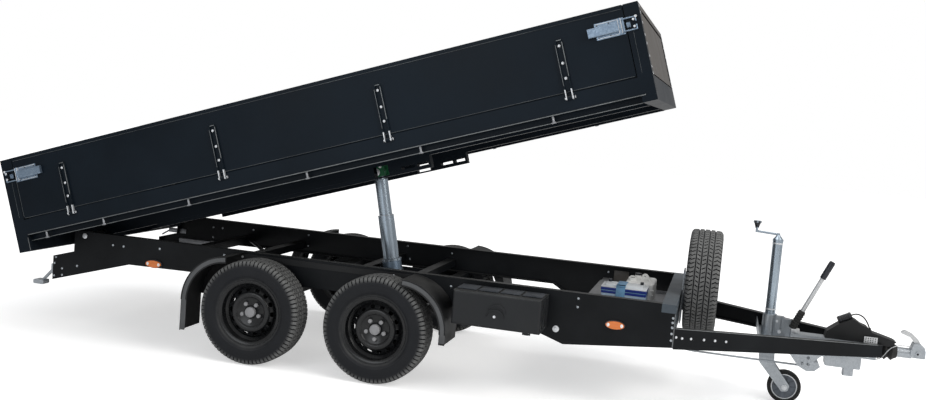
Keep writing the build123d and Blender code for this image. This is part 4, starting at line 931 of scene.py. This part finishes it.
for sideName, side in sides.items():
    board = "side_board_" + sideName
    faceOut = Vector((0, side, 0))
    hinge = (side * bed["hingeOut"], bed["hingeHigh"])

    # three domed heads up each strap, its edge as a painted highlight strip, the cheeks and the pin of its
    # hinge
    domes, edges, cheeks = [], [], []
    for s in strapPlaces:
        for high in (278, 360, 454):
            domes.append((onBed(s, side * 935.5, high), faceOut))
        edges.append(bedBlock((s + 16.2, s + 20.4), sided((936.8, 939.5), side), (286, 472), 0.5))
        edges.append(bedBlock((s - 20.3, s - 17.8), sided((937.2, 939.3), side), (240, 462), 0.4))
        edges.append(bedBlock((s - 11, s + 17), sided((937.4, 939.5), side), (481.5, 485.6), 0.5))
        for near, far in ((-20.5, -14.5), (14.5, 20.5)):
            cheeks.append(bedBlock((s + near, s + far), sided((926.5, 944.6), side), (176, 219), 1.2))
            cheeks.append(bedBar((s + near, *hinge), (s + far, *hinge), 10.6, 24, 1.2))
        cheeks.append(bedBar((s + 19, *hinge), (s + 33, *hinge), 8.2, 18, 2.0))
        cheeks.append(bedBar((s - 27, *hinge), (s - 19, *hinge), 6.8, 18, 1.5))
    heads("strapHeads_" + sideName, domePattern, domes, "brightZinc", board, 0.78)
    attach("strapHighlights_" + sideName, edges, "highlightEdge", board)
    attach("strapForks_" + sideName, cheeks, "brightZinc", board)

    # painted highlight lines along the edges of the rim and of the board's foot
    lines = [bedBlock((92, 3924), sided((927.4, 928.6), side), (564.3, 566.2), 0.3),
             bedBlock((92, 3924), sided((924.6, 925.7), side), (204.6, 206.4), 0.3),
             bedBlock((86.2, 88), sided((924.6, 925.7), side), (212, 436), 0.3)]
    attach("boardHighlights_" + sideName, lines, "faintHighlightEdge", board)

    # latch fittings: cheeks at the roller, stiffening ribs and rivets on the base plates
    fittings, rivets = [], []
    for mirrored in (False, True):
        for first, last in ((3893.5, 3896.5), (3909, 3912)):
            cheek = endSpan(first, last, mirrored)
            fittings.append(bedBlock(cheek, sided((926, 945.5), side), (440, 519), 0.8))
        for low, high in ((437.5, 440.5), (514, 517)):
            rib = endSpan(3776, 3888, mirrored)
            fittings.append(bedBlock(rib, sided((928.6, 932.4), side), (low, high), 0.8))
        for s in (3782, 3846, 3904):
            for high in (443, 509.5):
                rivets.append((onBed(eitherEnd(s, mirrored), side * 928.6, high), faceOut))
    attach("latchFittings_" + sideName, fittings, "brightZinc", board)
    heads("latchRivets_" + sideName, domePattern, rivets, "gripPlastic", board, 0.42)

    # on the posts: a ribbed clip, the pin's round end, the seam as a faint painted highlight line and the
    # seal behind the gap
    clips, balls, seams, seals = [], [], [], []
    for mirrored in (False, True):
        clip = endSpan(3937.5, 3958, mirrored)
        clips.append(bedBlock(clip, sided((924.5, 934), side), (462, 489), 1.0))
        for s in (3940, 3946.5, 3953):
            clips.append(bedBlock(endSpan(s, s + 3, mirrored), sided((933, 938.5), side), (463, 488), 0.8))
        pin, loop = eitherEnd(3977, mirrored), eitherEnd(3991, mirrored)
        for high in (460, 497):
            balls.append(bedBar((pin, side * 944, high), (pin, side * 947, high), 6.6, 24, 1.4))
        balls.append(bedBar((loop, side * 930, 511), (loop, side * 942, 511), 7.5, 20, 3.0))
        seam, seal = endSpan(3963.4, 3964.8, mirrored), endSpan(3920, 3938, mirrored)
        seams.append(bedBlock(seam, sided((924.5, 925.7), side), (214, 436), 0.3))
        seals.append(bedBlock(seal, sided((883, 894), side), (202, 586.8), 0.8))
    attach("postClips_" + sideName, clips, "blueZinc", "bed")
    attach("pinEnds_" + sideName, balls, "brightZinc", "bed")
    attach("postSeams_" + sideName, seams, "faintHighlightEdge", "bed")
    attach("postSeals_" + sideName, seals, "plainRubber", "bed")

    # painted highlight lines along the edges of the lip and the skirt's fold
    lips = [bedBlock((90, 3956), sided((928.8, 930.6), side), (98, 102.5), 0.6),
            bedBar((3954, side * 928.5, 101), (3960.5, side * 928.5, 101), 4.0, 14, 1.2),
            bedBlock((84, 3934), sided((898.4, 900.9), side), (59.4, 63.4), 0.6),
            bedBlock((79.6, 82.6), sided((922.5, 925.8), side), (3, 84), 0.5)]
    attach("lipHighlights_" + sideName, lips, "highlightEdge", "bed")

    # hooks for a net, under the bed's edge
    hooks = []
    for s in (216, 627, 1217, 1994, 2691, 3453):
        hooks.append(bedBar((s, side * 917, 60), (s, side * 917, 104), 6.6, 16, 1.2))
        hooks.append(bedBar((s - 13, side * 917, 61), (s + 13, side * 917, 61), 5.2, 14, 2.0))
    attach("netHooks_" + sideName, hooks, "dullZinc", "bed")

# the headboard's front: seams, and clips down both edges
face = bed["long"]
seams = [bedBlock((face - 4.6, face - 2.6), (-861, 861), (545, 555), 0.3),
         bedBlock((face - 0.5, face + 0.8), (-922, 922), (196, 203), 0.3)]
for side in sides.values():
    seams.append(bedBlock((face - 0.5, face + 0.4), sided((863.6, 866.4), side), (108, 584), 0.2))
attach("headSeams", seams, "seamShade", "bed")
clips = []
for side in sides.values():
    for high in (566, 532, 478, 412, 366, 300, 242, 205):
        clips.append(bedBlock((face - 2, face + 2.4), sided((868, 877), side), (high - 7, high + 7), 0.9))
attach("headClips", clips, "brightZinc", "bed")

# the tailgate's straps and swages, and the straps' bolts
plates = []
for y in (-600, 0, 600):
    plates.append(bedBlock((-1.4, 4), (y - 20, y + 20), (300, 575), 0.9))
for high in (262, 345, 428):
    plates.append(bedBlock((0.2, 3), (-830, 830), (high, high + 14), 1.0))
attach("gateSwages", plates, "bedPaint", "tailgate")
gateBolts = [(onBed(-1.2, y, high), -bedAhead) for y in (-600, 0, 600) for high in (330, 440, 550)]
heads("gateBolts", domePattern, gateBolts, "dullZinc", "tailgate", 0.8)

# bolts that hold the hoist's upper bracket
bracketBolts = []
for side in sides.values():
    for s in (2080, 2144):
        bracketBolts.append((onBed(s, side * 80, 74), (0, side, 0)))
        bracketBolts.append((onBed(s, side * 94, 96.4), -bedUp))
heads("bracketBolts", boltPattern, bracketBolts, "brightZinc", "bed", 0.95)
rings = []
for side in sides.values():
    rings.append(bar(onBed(2112, side * 79.5, 40), onBed(2112, side * 84, 40), 25, 32, 1.0))
attach("bracketWashers", rings, "brightZinc", "bed")
print("bed dressed")


# the hoist

hoist = {"foot": (262, 0, 240), "eye": (2112, 0, 40), "barrelTop": 574, "stageTop": 286}
footPlace = spot(*hoist["foot"])
eyePlace = onBed(*hoist["eye"])
hoistWay = (eyePlace - footPlace).normalized()
hoistLong = (eyePlace - footPlace).length * 1000


def onHoist(distance):
    return footPlace + hoistWay * distance / 1000


def hoistRing(low, high, inner, outer):
    # turned ring round the hoist, between two distances from its foot, with eased outer rims
    tall, ease = high - low, 0.7
    profile = [(inner, 0), (outer - ease, 0), (outer, ease), (outer, tall - ease), (outer - ease, tall),
               (inner, tall)]
    ring = spun("hoistRing", profile, 64, closed=True)
    settle(ring, along(onHoist(low), onHoist(high)))
    return ring


top = hoistLong - hoist["barrelTop"]
attach("hoistCollar", [hoistRing(top - 71, top - 15, 61.9, 62.8)], "blueZinc", "hoist_barrel")
attach("hoistGland", [hoistRing(top - 4, top + 1.5, 52.9, 61)], "gripPlastic", "hoist_barrel")
top = hoistLong - hoist["stageTop"]
attach("stageGland", [hoistRing(top - 1.5, top + 1.5, 43.9, 54)], "brightZinc", "hoist_stage_1")
footCaps = []
for side in sides.values():
    for near, far, radius, corners, edge in ((82, 90, 27, 32, 1.5), (89, 95, 13, 6, 1.0)):
        ends = [spot(hoist["foot"][0], side * out, hoist["foot"][2]) for out in (near, far)]
        footCaps.append(bar(*ends, radius, corners, edge))
attach("hoistPinCaps", footCaps, "dullZinc", "chassis")
cradleBolts = []
for side in sides.values():
    for x in (92, 372):
        cradleBolts.append((spot(x, side * 83, 522), (0, side, 0)))
heads("cradleBolts", boltPattern, cradleBolts, "dullZinc", "chassis")
print("hoist dressed")


# the chassis

rail = {"out": 660.0, "web": 5.0}
outerBolts = [(-1876, 452), (-1884, 412), (-1884, 330), (-1827, 383), (-1825, 340), (-1718, 412), (773, 586),
              (-1464, 576), (-1388, 576), (-1132, 590), (-686, 601), (-560, 601), (86, 606), (390, 606),
              (1520, 560), (1520, 610), (2052, 440), (2052, 478), (2052, 512), (2052, 540), (2052, 566)]
innerBolts = [(-1464, 576), (-1388, 576), (-1463, 500), (-1132, 590), (-686, 601), (-686, 519), (86, 606),
              (109, 514), (420, 590), (1540, 590), (1480, 470)]
places = []
for side in sides.values():
    places += [(spot(x, side * rail["out"], z), (0, side, 0)) for x, z in outerBolts]
    places += [(spot(x, side * (rail["out"] - rail["web"]), z), (0, -side, 0)) for x, z in innerBolts]
heads("railBolts", domePattern, places, "zinc", "chassis", 0.72)
washers = []
for side in sides.values():
    for x, z, near, far, radius, corners, edge in ((1407, 420, 659.5, 662.5, 19, 32, 0.8),
                                                   (1407, 420, 662, 670, 11, 6, 1.0),
                                                   (-1669, 612, 659.5, 664, 17, 32, 1.0)):
        washers.append(bar(spot(x, side * near, z), spot(x, side * far, z), radius, corners, edge))
attach("railWashers", washers, "brightZinc", "chassis")

# painted highlight lines down the rails' front ends and along the drawbar's edges
beam = {"rear": (2065, 660), "nose": (3206, 92), "edgeRear": (2068, 657.6, 508.4),
        "edgeNose": (3203, 92.8, 457.6)}
beamRun = Vector((beam["nose"][0] - beam["rear"][0], beam["rear"][1] - beam["nose"][1], 0))
edges = []
for side in sides.values():
    near, far = sided((659.2, 661.2), side)
    edges.append(block((2060, near, 404), (2065.5, far, 590), 0.6))
    ends = [spot(x, side * y, z) for x, y, z in (beam["edgeRear"], beam["edgeNose"])]
    edges.append(bar(*ends, 1.7, 10, 0))
attach("beamHighlights", edges, "highlightEdge", "chassis")
places = []
for side in sides.values():
    way = Vector((beamRun.y, side * beamRun.x, 0)).normalized()
    for x, z in ((2078, 461), (2110, 456), (2158, 455), (2228, 452), (2288, 449), (2348, 446)):
        y = beam["rear"][1] - beamRun.y / beamRun.x * (x - beam["rear"][0])
        places.append((spot(x, side * y, z), way))
heads("beamBolts", boltPattern, places, "brightZinc", "chassis", 0.6)

# bolts of the end crossmembers, and fittings on the left rail
places = [(spot(2060, y, 600), (1, 0, 0)) for y in (-560, -400, -200, 0, 200, 400, 560)]
places += [(spot(-1891, y, 375), (-1, 0, 0)) for y in (-400, -240, 240, 400)]
heads("crossBolts", boltPattern, places, "dullZinc", "chassis", 0.9)
fittings = [block((-1741, 640, 422), (-1480, 655.5, 464), 1.5),
            block((-1471, 634, 430), (-1388, 655.5, 472), 3.0),
            block((-1835, 644, 500), (-1688, 655.5, 534), 4.0),
            bar(spot(-1890, 648, 476), spot(-1830, 648, 514), 6, 16)]
attach("tailFittings", fittings, "dullZinc", "chassis")
attach("railPlate", [block((1580, 646, 519), (1681, 655.5, 608), 2.0)], "headPaint", "chassis")

# amber markers: dark rim behind each lens and a white reflector at both ends
marker = {"places": ((-1163, 491), (1739, 487)), "rimOut": 663.6, "rim": (0.0565, 0.0075, 0.0262),
          "ease": 0.0012, "endOut": 677, "endShift": 38, "end": (0.009, 0.0025, 0.011)}
rims, ends = [], []
for side in sides.values():
    for x, z in marker["places"]:
        deselect()
        bpy.ops.mesh.primitive_cylinder_add(vertices=48, radius=1, depth=1, rotation=(pi / 2, 0, 0))
        rim = bpy.context.object
        settle(rim)
        rim.scale = marker["rim"]
        rim.location = spot(x, side * marker["rimOut"], z)
        settle(rim)
        selectFaces(rim, lambda face: abs(face.normal.y) > 0.99)
        bpy.ops.mesh.bevel(offset=marker["ease"], segments=2, affect="EDGES")
        done()
        rims.append(rim)
        for shift in (-marker["endShift"], marker["endShift"]):
            deselect()
            bpy.ops.mesh.primitive_uv_sphere_add(segments=20, ring_count=12, radius=1,
                                                 location=spot(x + shift, side * marker["endOut"], z))
            reflector = bpy.context.object
            reflector.scale = marker["end"]
            settle(reflector)
            ends.append(reflector)
attach("markerRims", rims, "gripPlastic", "chassis")
attach("markerEnds", ends, "tankPlastic", "chassis")

# rounded lip round each guard, a quarter of a ring, and down its flap, lighter than the guard as a painted
# highlight
guard = {"ahead": 147, "out": 905.2, "high": 349, "radius": 267.5, "thick": 18.2, "flat": 0.21,
         "foot": {"front": 299, "rear": 164}}
for end, x in axles.items():
    way = 1 if end == "front" else -1
    for sideName, side in sides.items():
        deselect()
        centre = spot(x + way * guard["ahead"], side * guard["out"], guard["high"])
        bpy.ops.mesh.primitive_torus_add(location=centre, rotation=(pi / 2, 0, 0), major_segments=160,
                                         minor_segments=16, major_radius=guard["radius"] / 1000,
                                         minor_radius=guard["thick"] / 1000)
        lip = bpy.context.object
        settle(lip)
        selectVertices(lip, lambda vertex: (way * (vertex.co.x - centre.x) < 0.008
                                            or vertex.co.z < centre.z - 0.001))
        bpy.ops.mesh.delete(type="VERT")
        bpy.ops.mesh.select_all(action="SELECT")
        bpy.ops.mesh.fill_holes(sides=0)
        done()
        flap = x + way * (guard["ahead"] + guard["radius"])
        run = bar(spot(flap, side * guard["out"], guard["high"] + 1),
                  spot(flap, side * guard["out"], guard["foot"][end]), guard["thick"], 16, 4.0)
        whole = joined("guardLip", [lip, run])
        squeeze = (Matrix.Translation(centre) @ Matrix.Scale(guard["flat"], 4, (0, 1, 0))
                   @ Matrix.Translation(-centre))
        settle(whole, squeeze)
        attach("guardLip_" + end + "_" + sideName, [whole], "lipSheenPlastic", "chassis", 50)
places = []
for side in sides.values():
    for x in (-560, -420, 420, 560):
        places.append((spot(x, side * 664, 607), (0, side, 0)))
heads("guardBolts", domePattern, places, "brightZinc", "chassis", 0.75)
print("chassis dressed")


# toolbox, battery and oil tank

lock = [bar(spot(1095, -899.5, 490), spot(1095, -903, 490), 8, 28, 0.8),
        bar(spot(1095, -902.5, 490), spot(1095, -904.2, 490), 5, 24, 0.5)]
attach("toolboxLock", lock, "brightZinc", "toolbox_door")
lid = {"rear": 849, "front": 1352, "pads": 4, "gap": 10, "spare": 42, "inset": 6, "trim": 3}
padLong = (lid["front"] - lid["rear"] - lid["spare"]) / lid["pads"]
pads = []
for index in range(lid["pads"]):
    first = lid["rear"] + lid["inset"] + index * (padLong + lid["gap"])
    pads.append(block((first + lid["trim"], -847, 617.5), (first + padLong - lid["trim"], -698, 620.2), 1.2))
attach("toolboxPads", pads, "padPlastic", "chassis")
# a painted highlight line along the toolbox door's rounded top edge
edge = bar(spot(864, -895.6, 609.6), spot(1337, -895.6, 609.6), 0.9, 10, 0)
attach("toolboxHighlight", [edge], "faintHighlightEdge", "toolbox_door")
battery = {"x": (1600, 1865), "y": (-265, -90)}


def band(low, high, proud):
    # a band round the battery's case, standing proud of it
    (rear, front), (right, left) = battery["x"], battery["y"]
    return block((rear - proud, right - proud, low), (front + proud, left + proud, high), 1.2)


attach("batteryDarkBands", [band(596, 611.5, 0.9), band(615, 632, 2.7)], "batteryBlue", "chassis")
attach("batteryLightBand", [band(611, 615.5, 2.2)], "strapBlue", "chassis")
cover = [band(631.5, 638.8, 2.9), block((1621, -241, 636), (1844, -114, 648.8), 2.5)]
attach("batteryLid", cover, "batteryWhite", "chassis")
strap = [block((1688, right, low), (1742, left, high), 0.8)
         for right, left, low, high in ((-270.2, -268, 509, 641), (-270.2, -85, 649, 651),
                                        (-87, -84.8, 509, 651), (-270.2, -240, 638, 651))]
attach("batteryStrap", strap, "strapBlue", "chassis")
posts = [bar(spot(x, -130, 640), spot(x, -130, 665), 10.5, 24, 1.2) for x in (1636, 1829)]
attach("batteryPosts", posts, "gripPlastic", "chassis")
attach("tankCaps", [bar(spot(1772, 280, 648), spot(1772, 280, 660), 22, 12, 1.5),
                    bar(spot(1752, 90, 652), spot(1752, 90, 657.5), 14, 24, 1.0)], "gripPlastic", "chassis")
ribs = [block((1711.4, 29.4, low), (1890.6, 330.6, low + 6), 2.0) for low in (560, 590)]
attach("tankRibs", ribs, "tankPlastic", "chassis")
print("tray dressed")


# drawbar: lever, jockey stand and nose

leverFoot, leverTip = spot(2723, 0, 470), spot(2915, 0, 902)


def onLever(share):
    return leverFoot.lerp(leverTip, share)


def leverRings(count, first, step, long, radius, edge):
    # evenly spaced rings along the lever, places given as shares of it
    places = [first + step * index for index in range(count)]
    return [bar(onLever(place), onLever(place + long), radius, 32, edge) for place in places]


shaft = [bar(onLever(0.0), onLever(0.8), 13.2, 28, 1.0),
         block((2721.5, -20.5, 455), (2770.5, 20.5, 479.5), 3.0),
         bar(spot(2746, -27, 467), spot(2746, 27, 467), 8, 20, 1.0)]
tube = joined("leverTube", shaft)
paint(tube, "paleZinc")
sleeve = [bar(onLever(0.02), onLever(0.275), 20.3, 32, 1.5)]
boot = joined("leverBoot", sleeve + leverRings(7, 0.03, 0.034, 0.017, 23.3, 1.8))
paint(boot, "plainRubber")
grip = [bar(onLever(0.755), onLever(0.985), 18.3, 32, 2.0), bar(onLever(0.97), onLever(1.0), 16.5, 32, 5.0)]
hold = joined("leverHold", grip + leverRings(4, 0.79, 0.045, 0.01, 19.0, 0.9))
paint(hold, "gripPlastic")
lever = attach("handLever", [tube, boot, hold], None, "chassis")
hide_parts("handbrake_lever")

jockey = {"tube": (2598, 100), "knob": (2468, 100), "hub": (2724, 100, 100), "lobes": 6, "lobeOut": 15.5,
          "spokes": 10}
knob = [bar(spot(*jockey["knob"], 1050), spot(*jockey["knob"], 1081), 10.5, 24, 1.0, 19.5),
        bar(spot(*jockey["knob"], 1079), spot(*jockey["knob"], 1092.6), 16, 24, 2.5)]
for index in range(jockey["lobes"]):
    angle = index * 2 * pi / jockey["lobes"]
    x = jockey["knob"][0] + jockey["lobeOut"] * cos(angle)
    y = jockey["knob"][1] + jockey["lobeOut"] * sin(angle)
    knob.append(bar(spot(x, y, 1078), spot(x, y, 1093), 8, 18, 2.5))
attach("jockeyKnob", knob, "gripPlastic", "chassis")
bands = [bar(spot(*jockey["tube"], low), spot(*jockey["tube"], high), 31.2, 40, 0.8)
         for low, high in ((962, 972), (560, 568), (352, 361))]
attach("jockeyBands", bands, "brightZinc", "chassis")
attach("jockeyClamp", [bar(spot(2658, 34, 440), spot(2658, 27, 440), 11, 6, 1.2),
                       bar(spot(2640, 44, 500), spot(2640, 52, 500), 8, 6, 1.0)], "brightZinc", "chassis")

jockeyWheel = {
    "plainRubber": [(80, -27.6), (91, -27.6), (96, -25), (99.4, -20), (99.9, -12), (99.9, 12), (99.4, 20),
                    (96, 25), (91, 27.6), (80, 27.6), (78, 25), (76.5, 14), (76.5, -14), (78, -25)],
    "brightZinc": [(71, -17), (77.5, -17), (77.5, 17), (71, 17)],
    "rollerPlastic": [(8.2, -27.6), (21, -27.6), (22.5, -26), (26, -8.5), (71.5, -8.5), (71.5, 8.5),
                      (26, 8.5), (22.5, 26), (21, 27.6), (8.2, 27.6)],
}
roller = []
for finishName, profile in jockeyWheel.items():
    turned = spun("jockeyRoller", profile, 72, closed=True)
    if finishName == "rollerPlastic":
        core = [turned]
        for index in range(jockey["spokes"]):
            spoke = block((drawn["originX"] + 24, -2.4, -15), (drawn["originX"] + 72, 2.4, 15), 0.8)
            settle(spoke, Matrix.Rotation(index * 2 * pi / jockey["spokes"], 4, "Z"))
            core.append(spoke)
        turned = joined("jockeyRoller", core)
    settle(turned, outward)
    paint(turned, finishName)
    roller.append(turned)
rolled = joined("jockeyRoller", roller)
settle(rolled, Matrix.Translation(spot(*jockey["hub"])))
smooth(rolled, 30)
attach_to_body(rolled, "jockey_wheel")
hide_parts("jockey_wheel")
hubX, hubY, hubZ = jockey["hub"]
nuts = []
for near, far, radius, corners, edge in ((45, 53, 13, 6, 1.2), (40, 46, 17, 28, 1.0)):
    for side in sides.values():
        nuts.append(bar(spot(hubX, hubY + side * near, hubZ), spot(hubX, hubY + side * far, hubZ), radius,
                        corners, edge))
attach("forkNuts", nuts, "brightZinc", "jockey_fork")

# plate with holes beside the nose, skirts of its cover, marks on the head, rings on the plug, bolts
plate = block((3126, -72, 458), (3200, -69, 497), 0.8)
cutAway(plate, [bar(spot(x, -80, row), spot(x, -60, row), 3.4, 14, 0)
                for row in (466, 477, 488) for x in (3136, 3149, 3162, 3175, 3188)])
attach("nosePlate", [plate, block((3130, -72, 440), (3144, -50, 459), 0.8)], "paleZinc", "chassis")
skirts, eyes, places = [], [], []
for side in sides.values():
    near, far = sided((46.6, 49.4), side)
    skirts.append(block((3188, near, 450), (3298, far, 482), 1.0))
    eyes.append(bar(spot(3429, side * 43.4, 425), spot(3429, side * 44.8, 425), 6.5, 24, 0.3))
    for x, z in ((2960, 430), (3100, 430), (2960, 380), (3160, 380)):
        places.append((spot(x, side * 50, z), (0, side, 0)))
attach("coverSkirts", skirts, "guardPlastic", "chassis")
attach("headEyes", eyes, "gripPlastic", "chassis")
plugRings = [(3034, 596.8, 3041, 600.4, 21.4, 1.0), (2984, 570.6, 2992, 574.7, 21.4, 1.0)]
for index in range(4):
    x, z = 3000 + 8 * index, 578.8 + 4.1 * index
    plugRings.append((x, z, x + 3.5, z + 1.8, 20.8, 0.8))
collars = [bar(spot(rear, -25, low), spot(front, -25, high), radius, 28, edge)
           for rear, low, front, high, radius, edge in plugRings]
attach("plugCollars", collars, "gripPlastic", "chassis")
heads("housingBolts", boltPattern, places, "brightZinc", "chassis", 0.9)
for pattern in (boltPattern, domePattern):
    bpy.data.objects.remove(pattern)
print("drawbar dressed")


# studio

studio = {"floor": 60.0, "near": 3.5, "far": 8.0, "world": 0.42, "aim": (0.3, 0, 0.8),
          "lamps": [("keyLamp", (6.5, -3.2, 5.6), 5.0, 400.0, (1.0, 0.98, 0.95)),
                    ("topLamp", (0.0, 0.5, 7.0), 6.0, 260.0, (0.97, 0.98, 1.0)),
                    ("fillLamp", (-2.5, -8.5, 3.4), 5.0, 150.0, (0.92, 0.96, 1.0))]}


def makeStudio():
    deselect()
    bpy.ops.mesh.primitive_plane_add(size=studio["floor"], location=(0, 0, -0.001))
    floor = bpy.context.object
    floor.name = "studioFloor"
    settle(floor)
    material, tree, skin = newMaterial("studioFloor")
    skin.inputs["Base Color"].default_value = rgb(0.86, 0.86, 0.86)
    skin.inputs["Roughness"].default_value = 0.95
    skin.inputs["Specular IOR Level"].default_value = 0.0
    rays = tree.nodes.new("ShaderNodeLightPath")
    place = tree.nodes.new("ShaderNodeTexCoord")
    away = addNode(tree, "ShaderNodeVectorMath", operation="LENGTH")
    tree.links.new(place.outputs["Object"], away.inputs[0])
    glow = ramped(tree, away.outputs["Value"], studio["near"], studio["far"], 0.5, 0.8)
    lift = reckon(tree, "MULTIPLY", rays.outputs["Is Camera Ray"], glow)
    skin.inputs["Emission Color"].default_value = rgb(1, 1, 1)
    tree.links.new(lift, skin.inputs["Emission Strength"])
    floor.data.materials.append(material)

    world = bpy.data.worlds.new("studioWorld")
    bpy.context.scene.world = world
    world.use_nodes = True
    tree = world.node_tree
    sky = tree.nodes["Background"]
    rays = tree.nodes.new("ShaderNodeLightPath")
    seen = reckon(tree, "MAXIMUM", rays.outputs["Is Camera Ray"], rays.outputs["Is Transmission Ray"])
    tree.links.new(ramped(tree, seen, 0.0, 1.0, studio["world"], 1.0), sky.inputs["Strength"])
    sky.inputs["Color"].default_value = rgb(1, 1, 1)

    for name, place, size, power, colour in studio["lamps"]:
        bpy.ops.object.light_add(type="AREA", location=place)
        lamp = bpy.context.object
        lamp.name = name
        lamp.data.shape = "SQUARE"
        lamp.data.size = size
        lamp.data.energy = power
        lamp.data.color = colour
        lamp.rotation_euler = (Vector(studio["aim"]) - Vector(place)).to_track_quat("-Z", "Y").to_euler()


makeStudio()
bpy.context.scene.view_settings.view_transform = "Standard"
print("studio lit")
